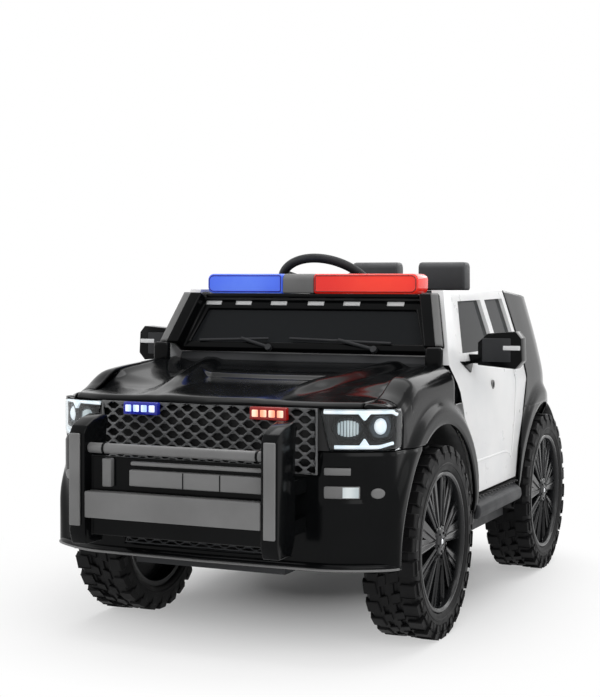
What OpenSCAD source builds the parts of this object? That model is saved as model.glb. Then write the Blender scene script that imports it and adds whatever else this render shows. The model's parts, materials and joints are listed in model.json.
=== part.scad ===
// Ride-on police SUV for children: moulded plastic body on a light running gear.
// Millimetres, +Z up, the nose towards -Y, the origin on the floor under the middle of the car.

/* [Running gear] */
// Distance between the axles
wheelbase = 680; // [670:2:690]
// Outside diameter of a tyre
tyre_d = 320; // [312:2:324]
// Width of a tyre
tyre_w = 92; // [86:1:94]
// Height of a tyre's wall over the wheel centre
tyre_wall = 42; // [38:1:48]
// From the centreline to the outer face of a tyre
wheel_face_x = 311; // [309:1:313]
// Room between a front tyre and its arch
front_arch_gap = 35; // [33:1:36]
// Room between a rear tyre and its arch
rear_arch_gap = 25; // [20:1:26]
// From the centreline to the kingpins
kingpin_x = 185; // [182:1:187]
// Diameter of the axles
axle_d = 12; // [10:1:14]
// Diameter of the kingpins and hinge pins
pin_d = 10; // [8:1:11]

/* [Body] */
// From the front axle to the foremost point
front_overhang = 383; // [380:1:392]
// From the rear axle to the rearmost point
rear_overhang = 207; // [206:1:212]
// How far the underside of the floor is below the axles
floor_drop = 25; // [22:1:30]
// Thickness of the floor and bulkheads
wall = 8; // [6:0.5:9]
// Thickness of a door
door_t = 22; // [18:1:23]
// Thickness of the body skins
skin_t = 8; // [6:0.5:9]
// Half width of the hood
hood_half_w = 255; // [252:1:256]
// Lean of the windscreen from upright, in degrees
screen_lean = 28; // [26:0.5:30]
// Thickness of the windscreen and panes
pane_t = 4; // [3:0.5:5]

/* [Front end] */
// Half width of the grille
grille_half_w = 190; // [186:1:194]
// Height of the bumper's lower edge
bumper_low_z = 147; // [143:1:150]
// Height where bumper and lamps meet
bumper_top_z = 330; // [326:1:332]
// Height of the top of the lamps and the grille
lamp_top_z = 396; // [394:0.2:396.2]
// Width of one cell of the grille
cell_w = 27; // [24:1:32]
// Height of one cell of the grille
cell_h = 11; // [10:1:14]
// Width of the bars between the cells
cell_bar = 4; // [3:0.5:6]
// From the centreline to the inside of an upright
upright_x = 150; // [147:1:153]
// Width of an upright
upright_w = 27; // [24:1:30]

/* [Lights on top] */
// Half length of the light bar
lightbar_half = 208; // [200:1:212]
// Depth of the light bar
lightbar_d = 60; // [54:1:64]
// Height of its lenses
lens_h = 36; // [32:1:40]
// Length of the blue lens
blue_len = 154; // [140:1:170]
// Length of the block between the lenses
block_len = 62; // [50:1:74]

/* [Cabin] */
// Diameter of the steering wheel
steering_d = 210; // [196:2:216]
// Place of the steering wheel across the car
steering_x = -76; // [-82:1:-70]
// Width of one headrest
headrest_w = 104; // [94:1:110]
// From the centreline to the middle of a headrest
headrest_x = 76; // [70:1:80]
// Half width of the bench
bench_half_w = 186; // [178:1:190]

/* [Hidden] */
$fn = 64;
// Gap at a seam between fixed pieces
seam = 0.3;
// Gap between a door and the panels round it
door_gap = 3;
// Running clearance on pins and axles
run = 0.05;
// How far a cutting shape stands out of what it cuts
over = 1;

tyre_r = tyre_d / 2;
axle_z = tyre_r;
rim_r = tyre_r - tyre_wall;
front_arch_r = tyre_r + front_arch_gap;
rear_arch_r = tyre_r + rear_arch_gap;
floor_z = axle_z - floor_drop;
total_l = front_overhang + wheelbase + rear_overhang;
nose_y = -total_l / 2;
tail_y = total_l / 2;
front_y = nose_y + front_overhang;
rear_y = front_y + wheelbase;
axle_r = axle_d / 2;
pin_r = pin_d / 2;

body_black = "#1b1c1e";
trim_grey = "#3a3b3d";
door_white = "#f2f2f2";
rubber_black = "#141414";
steel_grey = "#8a8d90";
lens_blue = "#2f5bff";
lens_red = "#f0221c";
lamp_white = "#f4f7fa";
smoke_grey = "#303336";
satin_grey = "#707070";

// Side of the body: height, half width there
side_table = [[140, 284], [214, 297], [330, 300], [398, 297], [452, 286], [578, 250]];
side_zs = [for (row = side_table) row[0]];
// How far the side draws in towards the tail: place from the rear axle, inset
tail_table = [[-120, 0], [0, 4], [55, 12], [105, 30], [145, 56], [190, 90]];
tail_ys = [for (row = tail_table) row[0] + rear_y];
// Top of a front fender: place from the front axle, height
fender_top_table = [[-215, 404], [-190, 405], [-160, 414], [-105, 438], [0, 446], [100, 452]];
// Corner of the nose in plan: half width, place from the front axle
nose_table = [[0, -264], [192, -258], [262, -233], [297, -200], [300, -160]];

function side_x(y, z) = lookup(z, side_table) - lookup(y - rear_y, tail_table);
function from_front(table) = [for (p = table) [p[0] + front_y, p[1]]];
function from_rear(table) = [for (p = table) [p[0] + rear_y, p[1]]];
function plan_front(table) = [for (p = table) [p[0], p[1] + front_y]];
function moved(table, dy) = [for (p = table) [p[0] + dy, p[1]]];
function flipped(table) = [for (p = table) [-p[0], p[1]]];
function reversed(table) = [for (i = [len(table) - 1:-1:0]) table[i]];
function middle(points) = [for (k = [0, 1]) [for (p = points) p[k]] * [for (p = points) 1] / len(points)];
function shrunk(points, d) = let (m = middle(points)) [for (p = points) p + (m - p) * d / norm(m - p)];

// Extrusions of an outline drawn in the front, side and top views
module along_y(y0, y1) { translate([0, y1, 0]) rotate([90, 0, 0]) linear_extrude(y1 - y0) children(); }
module along_x(x0, x1) { translate([x0, 0, 0]) rotate([90, 0, 90]) linear_extrude(x1 - x0) children(); }
module along_z(z0, z1) { translate([0, 0, z0]) linear_extrude(z1 - z0) children(); }
module box(low, high) { translate(low) cube(high - low); }
module both_sides() { children(); mirror([1, 0, 0]) children(); }
module rod_x(x0, x1, y, z, r) { translate([x0, y, z]) rotate([0, 90, 0]) cylinder(r = r, h = x1 - x0); }
module rod_z(z0, z1, x, y, r) { translate([x, y, z0]) cylinder(r = r, h = z1 - z0); }
module ring_x(x0, x1, y, z, r0, r1) {
    difference() {
        rod_x(x0, x1, y, z, r1);
        rod_x(x0 - over, x1 + over, y, z, r0);
    }
}

// A closed skin between an outer and an inner grid of points, row after row along the car
module skin(outer, inner) {
    rows = len(outer);
    cols = len(outer[0]);
    n = rows * cols;
    last = (rows - 1) * cols;
    points = concat([for (row = outer) for (p = row) p], [for (row = inner) for (p = row) p]);
    quads = concat(
        [for (i = [0:rows - 2]) for (j = [0:cols - 2])
            let (a = i * cols + j, b = a + cols) [a, b, b + 1, a + 1]],
        [for (i = [0:rows - 2]) for (j = [0:cols - 2])
            let (a = n + i * cols + j, b = a + cols) [a, a + 1, b + 1, b]],
        [for (i = [0:rows - 2]) let (a = i * cols, b = a + cols) [a, n + a, n + b, b]],
        [for (i = [0:rows - 2]) let (a = i * cols + cols - 1, b = a + cols) [a, b, n + b, n + a]],
        [for (j = [0:cols - 2]) [j, j + 1, n + j + 1, n + j]],
        [for (j = [last:last + cols - 2]) [j, n + j, n + j + 1, j + 1]]
    );
    polyhedron(points, [for (q = quads) for (t = [[q[0], q[1], q[2]], [q[0], q[2], q[3]]]) t]);
}

// The left side of the body as a skin: places along the car, heights, depths of its two faces
module side_skin(ys, zs, face, back) {
    skin(
        [for (y = reversed(ys)) [for (z = zs) [side_x(y, z) - face, y, z]]],
        [for (y = reversed(ys)) [for (z = zs) [side_x(y, z) - back, y, z]]]
    );
}

// Chassis
rail_x = 132;
rail_top_z = 385;
rear_rail_x = 200;
deck_z = axle_z + 70;
sill_x = 272;
sill_top_z = 205;
firewall_half_w = 262;
firewall_top_z = 380;
firewall_y = front_y + front_arch_r + 7;
floor_rear_y = rear_y - rear_arch_r - 12;
front_rail_y = front_y - 249.5;
rear_bumper_t = 17;
rear_bumper_y = tail_y - rear_bumper_t;
rear_rail_y = rear_bumper_y - seam;
beam_half_w = 165;
beam_half_d = 15;
beam_low_z = axle_z - 42;
beam_top_z = axle_z + 42;
arm_len = 60;
arm_z = axle_z - 20;
arm_t = 10;
tie_z = arm_z + arm_t + 1;
tie_t = 14;
module chassis() {
    color(trim_grey) difference() {
        union() {
            box([-sill_x, firewall_y, floor_z], [sill_x, floor_rear_y, floor_z + wall]);
            both_sides() box([sill_x - wall, firewall_y, floor_z], [sill_x, floor_rear_y, sill_top_z]);
            box(
                [-firewall_half_w, firewall_y, floor_z],
                [firewall_half_w, firewall_y + wall, firewall_top_z]
            );
            both_sides() box([rail_x - wall, front_rail_y, floor_z], [rail_x, firewall_y + wall, rail_top_z]);
            box([-rail_x, front_rail_y, floor_z], [rail_x, front_rail_y + wall, rail_top_z]);
            both_sides()
                box([rear_rail_x - wall, floor_rear_y - wall, floor_z], [rear_rail_x, rear_rail_y, deck_z]);
            box([-rear_rail_x, floor_rear_y - wall, deck_z - wall], [rear_rail_x, rear_rail_y, deck_z]);
            box([-rear_rail_x, floor_rear_y - wall, floor_z], [rear_rail_x, floor_rear_y, deck_z]);
            box([-rear_rail_x, rear_rail_y - wall, floor_z], [rear_rail_x, rear_rail_y, deck_z]);
        }
        box(
            [-rail_x - over, front_y - beam_half_d - seam, floor_z - over],
            [rail_x + over, front_y + beam_half_d + seam, beam_top_z + seam]
        );
        box(
            [-rail_x - over, front_y + arm_len - 22, arm_z],
            [rail_x + over, front_y + arm_len + 18, tie_z + tie_t + 8]
        );
        rod_x(-rear_rail_x - over, rear_rail_x + over, rear_y, axle_z, axle_r + seam);
    }
}

// Front axle
ear_t = 10;
knuckle_gap = 0.5;
barrel_r = 13;
tie_pin_r = 4;
tie_eye_r = 9;
axle_end_x = wheel_face_x - 14;
module front_beam() {
    color(steel_grey) union() {
        box(
            [-beam_half_w, front_y - beam_half_d, beam_low_z],
            [beam_half_w, front_y + beam_half_d, beam_top_z]
        );
        both_sides() {
            for (z = [beam_low_z, beam_top_z - ear_t]) {
                box(
                    [beam_half_w - over, front_y - beam_half_d, z],
                    [kingpin_x, front_y + beam_half_d, z + ear_t]
                );
                rod_z(z, z + ear_t, kingpin_x, front_y, beam_half_d);
            }
            rod_z(beam_low_z, beam_top_z, kingpin_x, front_y, pin_r);
        }
    }
}
module knuckle() {
    barrel_low_z = beam_low_z + ear_t + knuckle_gap;
    barrel_top_z = beam_top_z - ear_t - knuckle_gap;
    color(steel_grey) difference() {
        union() {
            rod_z(barrel_low_z, barrel_top_z, kingpin_x, front_y, barrel_r);
            rod_x(kingpin_x + pin_r + 2, axle_end_x, front_y, axle_z, axle_r);
            box(
                [kingpin_x - tie_eye_r, front_y + pin_r + 2, arm_z],
                [kingpin_x + tie_eye_r, front_y + arm_len, arm_z + arm_t]
            );
            rod_z(arm_z, arm_z + arm_t, kingpin_x, front_y + arm_len, tie_eye_r);
            rod_z(arm_z, tie_z + tie_t + 3, kingpin_x, front_y + arm_len, tie_pin_r);
        }
        rod_z(beam_low_z, beam_top_z, kingpin_x, front_y, pin_r + run);
    }
}
module knuckle_left() { knuckle(); }
module knuckle_right() { mirror([1, 0, 0]) knuckle(); }
tie_rod_r = 6;
module tie_rod() {
    rod_end_x = kingpin_x - tie_pin_r - 2;
    color(steel_grey) difference() {
        union() {
            both_sides() rod_z(tie_z, tie_z + tie_t, kingpin_x, front_y + arm_len, tie_eye_r);
            rod_x(-rod_end_x, rod_end_x, front_y + arm_len, tie_z + tie_t / 2, tie_rod_r);
        }
        both_sides() rod_z(tie_z - over, tie_z + tie_t + over, kingpin_x, front_y + arm_len, tie_pin_r + run);
    }
}

// Rear axle
module rear_axle() { color(steel_grey) rod_x(-axle_end_x, axle_end_x, rear_y, axle_z, axle_r); }
drive_x = 150;
motor_x = 100;
motor_r = 19;
module drive_units() {
    color(trim_grey) both_sides() difference() {
        union() {
            box([drive_x, rear_y - 45, axle_z - 36], [rear_rail_x - wall - seam, rear_y + 62, axle_z + 40]);
            rod_x(motor_x, drive_x + over, rear_y + 36, axle_z + 6, motor_r);
        }
        rod_x(drive_x - over, rear_rail_x, rear_y, axle_z, axle_r + seam);
    }
}
module battery() {
    color(trim_grey) box([-75, rear_y - 165, floor_z + 6], [75, rear_y - 65, deck_z - wall - seam]);
}

// Wheels, drawn on the left with the axle along X
wheel_in_x = wheel_face_x - tyre_w;
hub_r = 24;
spokes = 7;
// One of a pair of spokes in the wheel's plane
module spoke(side) {
    polygon([[side * 3, 10], [side * 12, 10], [side * 36, rim_r - 8], [side * 24, rim_r - 6]]);
}
module rim(y) {
    color(body_black) difference() {
        union() {
            rod_x(wheel_in_x - 14, wheel_face_x - 7, y, axle_z, hub_r);
            rod_x(wheel_in_x + 30, wheel_in_x + 38, y, axle_z, rim_r - 4);
            ring_x(wheel_in_x + 6, wheel_face_x - 5, y, axle_z, rim_r - 9, rim_r - seam);
            for (k = [0:spokes - 1]) {
                translate([0, y, axle_z])
                    rotate([k * 360 / spokes, 0, 0])
                        along_x(wheel_in_x + 37, wheel_face_x - 9)
                            for (side = [-1, 1]) spoke(side);
            }
        }
        rod_x(wheel_in_x - 20, axle_end_x + over, y, axle_z, axle_r + run);
    }
}
module rim_front_left() { rim(front_y); }
module rim_front_right() { mirror([1, 0, 0]) rim(front_y); }
module rim_rear_left() { rim(rear_y); }
module rim_rear_right() { mirror([1, 0, 0]) rim(rear_y); }

lugs = 26;
lug_h = 8;
lug_fill = 0.6;
// How far the outer blocks are set in from the tyre's faces
lug_set = 4;
// A ring of blocks in the wheel's plane: their outer radius and turn
module lug_ring(r, turn) {
    step = 360 / lugs;
    foot_r = r - lug_h - 3;
    // Corners of a block: place along it, radius
    corners = [[-0.5, foot_r], [-0.42, r], [0.42, r], [0.5, foot_r]];
    polygon([for (k = [0:lugs - 1]) for (c = corners)
        let (a = (k + c[0] * lug_fill + turn) * step) c[1] * [cos(a), sin(a)]]);
}
module tyre(y) {
    core_r = tyre_r - lug_h;
    // Half section of the tyre's core: radius, distance in from the outer face
    section = [[rim_r, 4], [core_r - 12, 1], [core_r - 4, 5], [core_r, 14]];
    shoulder = 25;
    color(rubber_black) translate([0, y, axle_z]) difference() {
        union() {
            translate([wheel_face_x - tyre_w / 2, 0, 0]) rotate([0, 90, 0]) rotate_extrude()
                polygon(concat(
                    [for (p = section) [p[0], tyre_w / 2 - p[1]]],
                    [for (p = reversed(section)) [p[0], p[1] - tyre_w / 2]]
                ));
            along_x(wheel_face_x - shoulder, wheel_face_x - lug_set) lug_ring(tyre_r, 0);
            along_x(wheel_in_x + lug_set, wheel_in_x + shoulder) lug_ring(tyre_r, 0);
            along_x(wheel_in_x + shoulder + 6, wheel_face_x - shoulder - 6) lug_ring(tyre_r - 0.5, 0.5);
        }
        rod_x(wheel_in_x - over, wheel_face_x + over, 0, 0, rim_r);
    }
}
module tyre_front_left() { tyre(front_y); }
module tyre_front_right() { mirror([1, 0, 0]) tyre(front_y); }
module tyre_rear_left() { tyre(rear_y); }
module tyre_rear_right() { mirror([1, 0, 0]) tyre(rear_y); }

// Doors in side view: place from an axle, height
door_low_z = 212;
door_top_z = 576;
front_edge = [
    [207, door_low_z], [199, 250], [179, 305], [141, 352], [113, 415], [85, 448], [161, door_top_z]
];
rear_edge = [
    [-141, door_top_z], [-124, 470], [-119, 405], [-156, 340], [-186, 270], [-196, door_low_z]
];
door_front = from_front(front_edge);
door_rear = from_rear(rear_edge);
front_window = concat(
    from_front([[175, 464], [226, 556]]),
    from_rear([[-312, 558], [-298, 464]])
);
rear_window = from_rear([[-272, 464], [-284, 558], [-160, 560], [-145, 470], [-148, 464]]);
door_ys = [front_y + 60, (front_y + rear_y) / 2, rear_y - 100];
door_zs = concat([205], [for (z = side_zs) if (z > door_low_z) z]);
hinge_x = 284;
hinge_y = front_y + 97;
hinge_low_z = 372;
hinge_high_z = 414;
hinge_r = 9;
bracket_t = 10;
leaf_low_z = hinge_low_z + bracket_t + 2;
// Front wall of the hinge pocket in the fender
pocket_y = hinge_y - 19;
module door_body() {
    color(door_white) difference() {
        union() {
            intersection() {
                side_skin(door_ys, door_zs, 0, door_t);
                along_x(200, 320) polygon(concat(door_front, door_rear));
            }
            rod_z(leaf_low_z, hinge_high_z, hinge_x, hinge_y, hinge_r);
            box([hinge_x - 8, hinge_y, leaf_low_z], [hinge_x + 7, hinge_y + 45, hinge_high_z - 2]);
        }
        along_x(200, 320) polygon(front_window);
        along_x(200, 320) polygon(rear_window);
        rod_z(hinge_low_z, hinge_high_z - 6, hinge_x, hinge_y, pin_r + run);
    }
}
module door_left() { door_body(); }
module door_right() { mirror([1, 0, 0]) door_body(); }
module door_panes() {
    color(smoke_grey) for (outline = [front_window, rear_window]) intersection() {
        side_skin(door_ys, [452, 578], 7, 7 + pane_t);
        along_x(200, 320) polygon(shrunk(outline, 0.6));
    }
}
module door_panes_left() { door_panes(); }
module door_panes_right() { mirror([1, 0, 0]) door_panes(); }
module mirror_body() {
    color(body_black) difference() {
        union() {
            box([260, front_y + 208, 446], [312, front_y + 226, 462]);
            along_y(front_y + 196, front_y + 230)
                polygon([[304, 444], [372, 438], [384, 452], [382, 492], [372, 504], [322, 500], [304, 484]]);
        }
        side_skin(door_ys, [398, 452, 578], -seam, 60);
    }
}
module mirror_left() { mirror_body(); }
module mirror_right() { mirror([1, 0, 0]) mirror_body(); }

// Front fenders
liner_t = 5;
flare_w = 26;
flare_x = 308;
fender_low_z = 150;
pocket_z = hinge_low_z + bracket_t;
liner_corner = [rail_x, front_y - 300, fender_low_z];
lamp_back_y = front_y - 179;
fender_ys = [for (d = [-213, -190, -160, -105, 0, 75, 100, 215]) front_y + d];
function fender_top(y) = lookup(y - front_y, fender_top_table);
// Section of a fender: half width, height below its top, way of its thickness
function fender_row(y) = let (top = fender_top(y)) [
    [284, fender_low_z - over, [-1, 0]], [297, 214, [-1, 0]], [300, 320, [-1, 0]], [299, top - 42, [-1, 0]],
    [288, top - 10, [-0.8, -0.8]], [hood_half_w + 0.5, top, [0, -1]]
];
module fender() {
    ys = reversed(fender_ys);
    rows = [for (y = ys) [for (c = fender_row(y)) [c[0], y, c[1]]]];
    backs = [for (y = ys) [for (c = fender_row(y)) [c[0] + c[2][0] * skin_t, y, c[1] + c[2][1] * skin_t]]];
    outline = concat(
        [[lamp_back_y, bumper_top_z + seam], [lamp_back_y, lamp_top_z + 0.5]],
        [[front_y - 214, lamp_top_z + 0.5]],
        [[front_y - 214, 480], [pocket_y, 480], [pocket_y, pocket_z], [front_y + 126 - door_gap, pocket_z]],
        reversed(moved([for (p = door_front) if (p[1] < pocket_z) p], -door_gap)),
        [[front_y + 207 - door_gap, fender_low_z], [front_y, fender_low_z], [front_y, bumper_top_z + seam]]
    );
    color(body_black) difference() {
        union() {
            intersection() {
                union() {
                    skin(rows, backs);
                    ring_x(flare_x - 16, flare_x, front_y, axle_z, front_arch_r, front_arch_r + flare_w);
                }
                along_x(200, 330) polygon(outline);
            }
            intersection() {
                ring_x(rail_x + seam, 294, front_y, axle_z, front_arch_r, front_arch_r + liner_t);
                union() {
                    box(liner_corner, [firewall_half_w, front_y + 300, bumper_top_z + over]);
                    box(liner_corner, [300, front_y, bumper_top_z + over]);
                    along_x(rail_x, 300) polygon(outline);
                }
            }
            box([hinge_x - 8, hinge_y - 10, hinge_low_z], [296, hinge_y + 10, pocket_z]);
            rod_z(hinge_low_z, hinge_high_z - 8, hinge_x, hinge_y, pin_r);
        }
        rod_x(rail_x - over, 330, front_y, axle_z, front_arch_r);
    }
}
module fender_left() { fender(); }
module fender_right() { mirror([1, 0, 0]) fender(); }

// Hood: place from the front axle, heights at the middle, the ridge, the valley and the edge,
// half width of the ridge
hood_rear = 104.5;
hood_table = [
    [-264, 404.5, 404.5, 404.5, 404.5, 104],
    [-240, 408, 408, 406, 405, 108],
    [-190, 412, 414, 410, 406, 112],
    [-150, 415, 421, 414, 418, 118],
    [-105, 418, 429, 421, 438, 128],
    [-30, 423, 437, 428, 444, 145],
    [-14, 429, 439, 429, 445, 149],
    [50, 438, 445, 436, 449, 165],
    [hood_rear, 446, 450, 442, 452, 180]
];
hood_t = 8;
function hood_col(d, k) = lookup(d, [for (row = hood_table) [row[0], row[k]]]);
// Depth of the hood's front edge behind its middle, by half width
function nose_back(x) = lookup(abs(x), [for (p = nose_table) [p[0], p[1] + 264]]);
function hood_half(row) = let (ridge = row[5]) [
    [0, row[1]], [ridge - 34, row[1] + 1], [ridge - 8, row[2]], [ridge + 8, row[2]], [ridge + 34, row[3]],
    [hood_half_w - 18, (row[3] + row[4]) / 2], [hood_half_w, row[4]]
];
function hood_row(row) = let (half = hood_half(row)) concat(
    [for (p = reversed(half)) if (p[0] > 0) [-p[0], p[1]]], half
);
function hood_shift(d, x) = nose_back(x) * (hood_rear - d) / (hood_rear + 264);
module hood() {
    rows = [for (row = hood_table) [for (p = hood_row(row))
        [p[0], front_y + row[0] + hood_shift(row[0], p[0]), p[1]]]];
    color(body_black) skin(rows, [for (row = rows) [for (p = row) p - [0, 0, hood_t]]]);
}

// Front bumper, in plan
nose_edge = plan_front(nose_table);
// Inner face of the bumper: half width, place from the front axle
nose_inner = plan_front([[0, -254], [190, -248], [256, -225], [288, -196], [290, -160]]);
nose_pocket = plan_front([[0, -259], [191, -253], [259, -229], [292, -198], [295, -160]]);
lip_edge = plan_front([[0, -272], [194, -266], [267, -239], [304, -202], [307, -160]]);
module band(outer, inner) {
    polygon(concat(
        reversed(flipped([for (p = outer) if (p[0] > 0) p])), outer,
        reversed([for (p = inner) if (p[0] > 0) p]), flipped(inner)
    ));
}
grille_foot_z = bumper_top_z - 36;
grille_low = [bumper_low_z + 20, bumper_low_z + 66];
grille_low_half_w = 146;
fog_x = [grille_half_w + 8, grille_half_w + 72];
fog_z = [bumper_low_z + 105, bumper_low_z + 165];
module front_bumper() {
    color(body_black) difference() {
        union() {
            along_z(bumper_low_z, bumper_top_z) band(nose_edge, nose_inner);
            along_z(bumper_low_z, bumper_low_z + 12) band(lip_edge, nose_inner);
            both_sides() intersection() {
                ring_x(flare_x - 17, flare_x, front_y, axle_z, front_arch_r, front_arch_r + flare_w);
                box([200, front_y - 230, bumper_low_z], [330, front_y - 160, bumper_top_z]);
            }
        }
        both_sides() {
            rod_x(rail_x, 330, front_y, axle_z, front_arch_r + liner_t + seam);
            intersection() {
                along_z(fog_z[0], fog_z[1]) band(lip_edge, nose_pocket);
                box([fog_x[0], front_y - 300, 0], [fog_x[1], front_y - 100, 400]);
            }
        }
        box(
            [-grille_low_half_w, front_y - 300, grille_low[0]],
            [grille_low_half_w, front_y - 200, grille_low[1]]
        );
        box(
            [-grille_half_w, front_y - 300, grille_foot_z],
            [grille_half_w, front_y - 200, bumper_top_z + over]
        );
    }
}
fog_bar_back = plan_front([[0, -259.4], [191, -253.4], [259.2, -229.5], [292.4, -198.4], [295.4, -160]]);
// Fog bars: foot, height, outer end
fog_rows = [[fog_z[0] + 6, 20, fog_x[1] - 11], [fog_z[1] - 18, 12, fog_x[1] - 24]];
module fog_bars() {
    color(satin_grey) both_sides() for (row = fog_rows) intersection() {
        along_z(row[0], row[0] + row[1]) band(nose_edge, fog_bar_back);
        box([fog_x[0] + 1, front_y - 300, 0], [row[2], front_y - 100, 400]);
    }
}

// Grille: plates of flattened six-sided cells, half of them shifted
cell_corners = [[-0.5, 0], [-0.25, 0.62], [0.25, 0.62], [0.5, 0], [0.25, -0.62], [-0.25, -0.62]];
module cells(half_w, z0, z1, frame) {
    rows = floor((z1 - z0 - 2 * frame) / cell_h);
    cols = floor((2 * half_w - 2 * frame) / cell_w - 0.5);
    difference() {
        translate([-half_w, z0]) square([2 * half_w, z1 - z0]);
        for (r = [0:rows - 1]) for (c = [0:cols - 1])
            translate([
                (c - (cols - 1) / 2 + (r % 2 == 0 ? -0.25 : 0.25)) * cell_w,
                (z0 + z1) / 2 + (r - (rows - 1) / 2) * cell_h
            ])
                polygon([for (p = cell_corners) [p[0] * (cell_w - cell_bar), p[1] * (cell_h - cell_bar)]]);
    }
}
grille_y = front_y - 261;
module grille() {
    color(body_black) {
        along_y(grille_y, grille_y + 8)
            cells(grille_half_w - seam, grille_foot_z + seam, lamp_top_z, 3);
        along_y(front_y - 262, front_y - 255)
            cells(grille_low_half_w - seam, grille_low[0] + seam, grille_low[1] - seam, 2);
    }
}

// Lamps of the nose, in plan from the front axle
lens_t = 4;
module lamp_height() { along_z(bumper_top_z + seam, lamp_top_z) children(); }
module headlamps() {
    color(smoke_grey) both_sides() lamp_height() polygon(plan_front([
        [grille_half_w, -252], [258, -228], [292, -195.5], [292, -179.5], [grille_half_w, -205]
    ]));
}
module headlamp_lenses() {
    color(lamp_white) both_sides() lamp_height() polygon(plan_front([
        [grille_half_w, -258], [262, -233], [297, -200], [292.3, -195.5 - seam], [258, -228 - seam],
        [grille_half_w, -252 - seam]
    ]));
}
strobe_w = 62;
strobe_x = 81;
strobe_h = 20;
module strobe() {
    box([strobe_x, grille_y - 12, lamp_top_z - strobe_h], [strobe_x + strobe_w, grille_y - seam, lamp_top_z]);
}
module strobe_blue() { color(lens_blue) mirror([1, 0, 0]) strobe(); }
module strobe_red() { color(lens_red) strobe(); }

// Bar in front of the nose: places from its front face
bar_low_z = 205;
bar_front_y = nose_y;
foot_y = front_y - 260;
board_low_z = 224;
board_top_z = 265;
strip_t = 5;
strip_top_z = 354;
plate_y = bar_front_y + 26;
plate_t = 8;
round_bar_r = 8;
round_bar_z = bumper_top_z + 1;
mid_bar_x = -75;
module upright() {
    // Side view of an upright: place, height
    profile = [
        [strip_t + 7, bar_low_z - 24], [strip_t, bar_low_z - 6], [strip_t, strip_top_z],
        [13, strip_top_z + 11], [34, strip_top_z + 20], [62, strip_top_z + 26], [74, strip_top_z + 23],
        [77, strip_top_z + 15], [72, strip_top_z - 2], [70, 330], [70, bar_low_z], [58, bar_low_z - 24]
    ];
    along_x(upright_x, upright_x + upright_w) polygon(moved(profile, bar_front_y));
}
module bull_bar() {
    color(body_black) union() {
        both_sides() {
            upright();
            for (z = [bar_low_z + 2, grille_foot_z - 28])
                box([upright_x + 4, bar_front_y + 20, z], [upright_x + upright_w - 4, foot_y, z + 24]);
        }
        box([-upright_x - over, plate_y, bar_low_z - 10], [upright_x + over, plate_y + plate_t, 318]);
    }
}
module bull_trim() {
    color(satin_grey) {
        both_sides()
            box(
                [upright_x + 6, bar_front_y, bar_low_z + 6],
                [upright_x + upright_w - 2, bar_front_y + strip_t - seam, strip_top_z]
            );
        rod_x(-upright_x + seam, upright_x - seam, bar_front_y + 20, round_bar_z, round_bar_r);
        box([mid_bar_x, bar_front_y + 12, 276], [upright_x - seam, plate_y - seam, 301]);
        box([mid_bar_x, bar_front_y + 16, 307], [upright_x - seam, plate_y - seam, 313]);
        box([-124, bar_front_y + 14, 272], [-108, plate_y - seam, 316]);
    }
}
module bull_board() {
    color(satin_grey)
        box(
            [-upright_x + seam, bar_front_y + 4, board_low_z],
            [upright_x - seam, plate_y - seam, board_top_z]
        );
}

// Windscreen, drawn upright from its foot and then leaned back
screen_y = front_y + 113;
screen_z = 464;
screen_len = 105;
screen_foot_w = 252;
screen_head_w = 226;
frame_t = 16;
module leaned() { translate([0, screen_y, screen_z]) rotate([-screen_lean, 0, 0]) children(); }
function screen_opening(d) = [
    [-screen_foot_w + 24 + d, 16 + d], [screen_foot_w - 24 - d, 16 + d],
    [screen_head_w - 20 - d, screen_len - 22 - d], [-screen_head_w + 20 + d, screen_len - 22 - d]
];
// A pillar beside the screen: half widths at the foot and the head, from the screen's edge
module pillar(inside, outside) {
    polygon([
        [screen_foot_w - inside, 0], [screen_foot_w + outside, 0],
        [screen_head_w + outside, screen_len], [screen_head_w - inside, screen_len]
    ]);
}
pillar_front = -32;
pillar_back = -21;
module windscreen_frame() {
    color(body_black) leaned() union() {
        along_y(-frame_t / 2, frame_t / 2) difference() {
            polygon([
                [-screen_foot_w, 0], [screen_foot_w, 0],
                [screen_head_w, screen_len], [-screen_head_w, screen_len]
            ]);
            polygon(screen_opening(0));
        }
        both_sides() {
            along_y(pillar_front, -frame_t / 2 + over) pillar(12, 0);
            along_y(pillar_front, pillar_back) pillar(over, 25);
        }
    }
}
module windscreen() {
    color(smoke_grey) leaned() along_y(-pane_t / 2, pane_t / 2) polygon(screen_opening(seam));
}

// Light bar on the windscreen's head
head_y = screen_y + screen_len * sin(screen_lean);
head_z = screen_z + screen_len * cos(screen_lean) + frame_t / 2 * sin(screen_lean);
lightbar_y = head_y - 16;
lightbar_base_h = 8;
lens_z = head_z + lightbar_base_h + 2 * seam;
blue_end_x = -lightbar_half + blue_len;
red_start_x = blue_end_x + block_len;
module lightbar_base() {
    color(body_black) box(
        [-lightbar_half - 3, lightbar_y - 2, head_z + seam],
        [lightbar_half + 3, lightbar_y + lightbar_d + 2, head_z + seam + lightbar_base_h]
    );
}
module lens(x0, x1) {
    h = lens_h;
    d = lightbar_d;
    section = [[0, 0], [0, h - 8], [6, h], [d - 6, h], [d, h - 8], [d, 0]];
    along_x(x0, x1) polygon([for (p = section) [p[0] + lightbar_y, p[1] + lens_z]]);
}
module lightbar_blue() { color(lens_blue) lens(-lightbar_half, blue_end_x - seam); }
module lightbar_block() { color(satin_grey) lens(blue_end_x, red_start_x); }
module lightbar_red() { color(lens_red) lens(red_start_x + seam, lightbar_half); }

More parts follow.
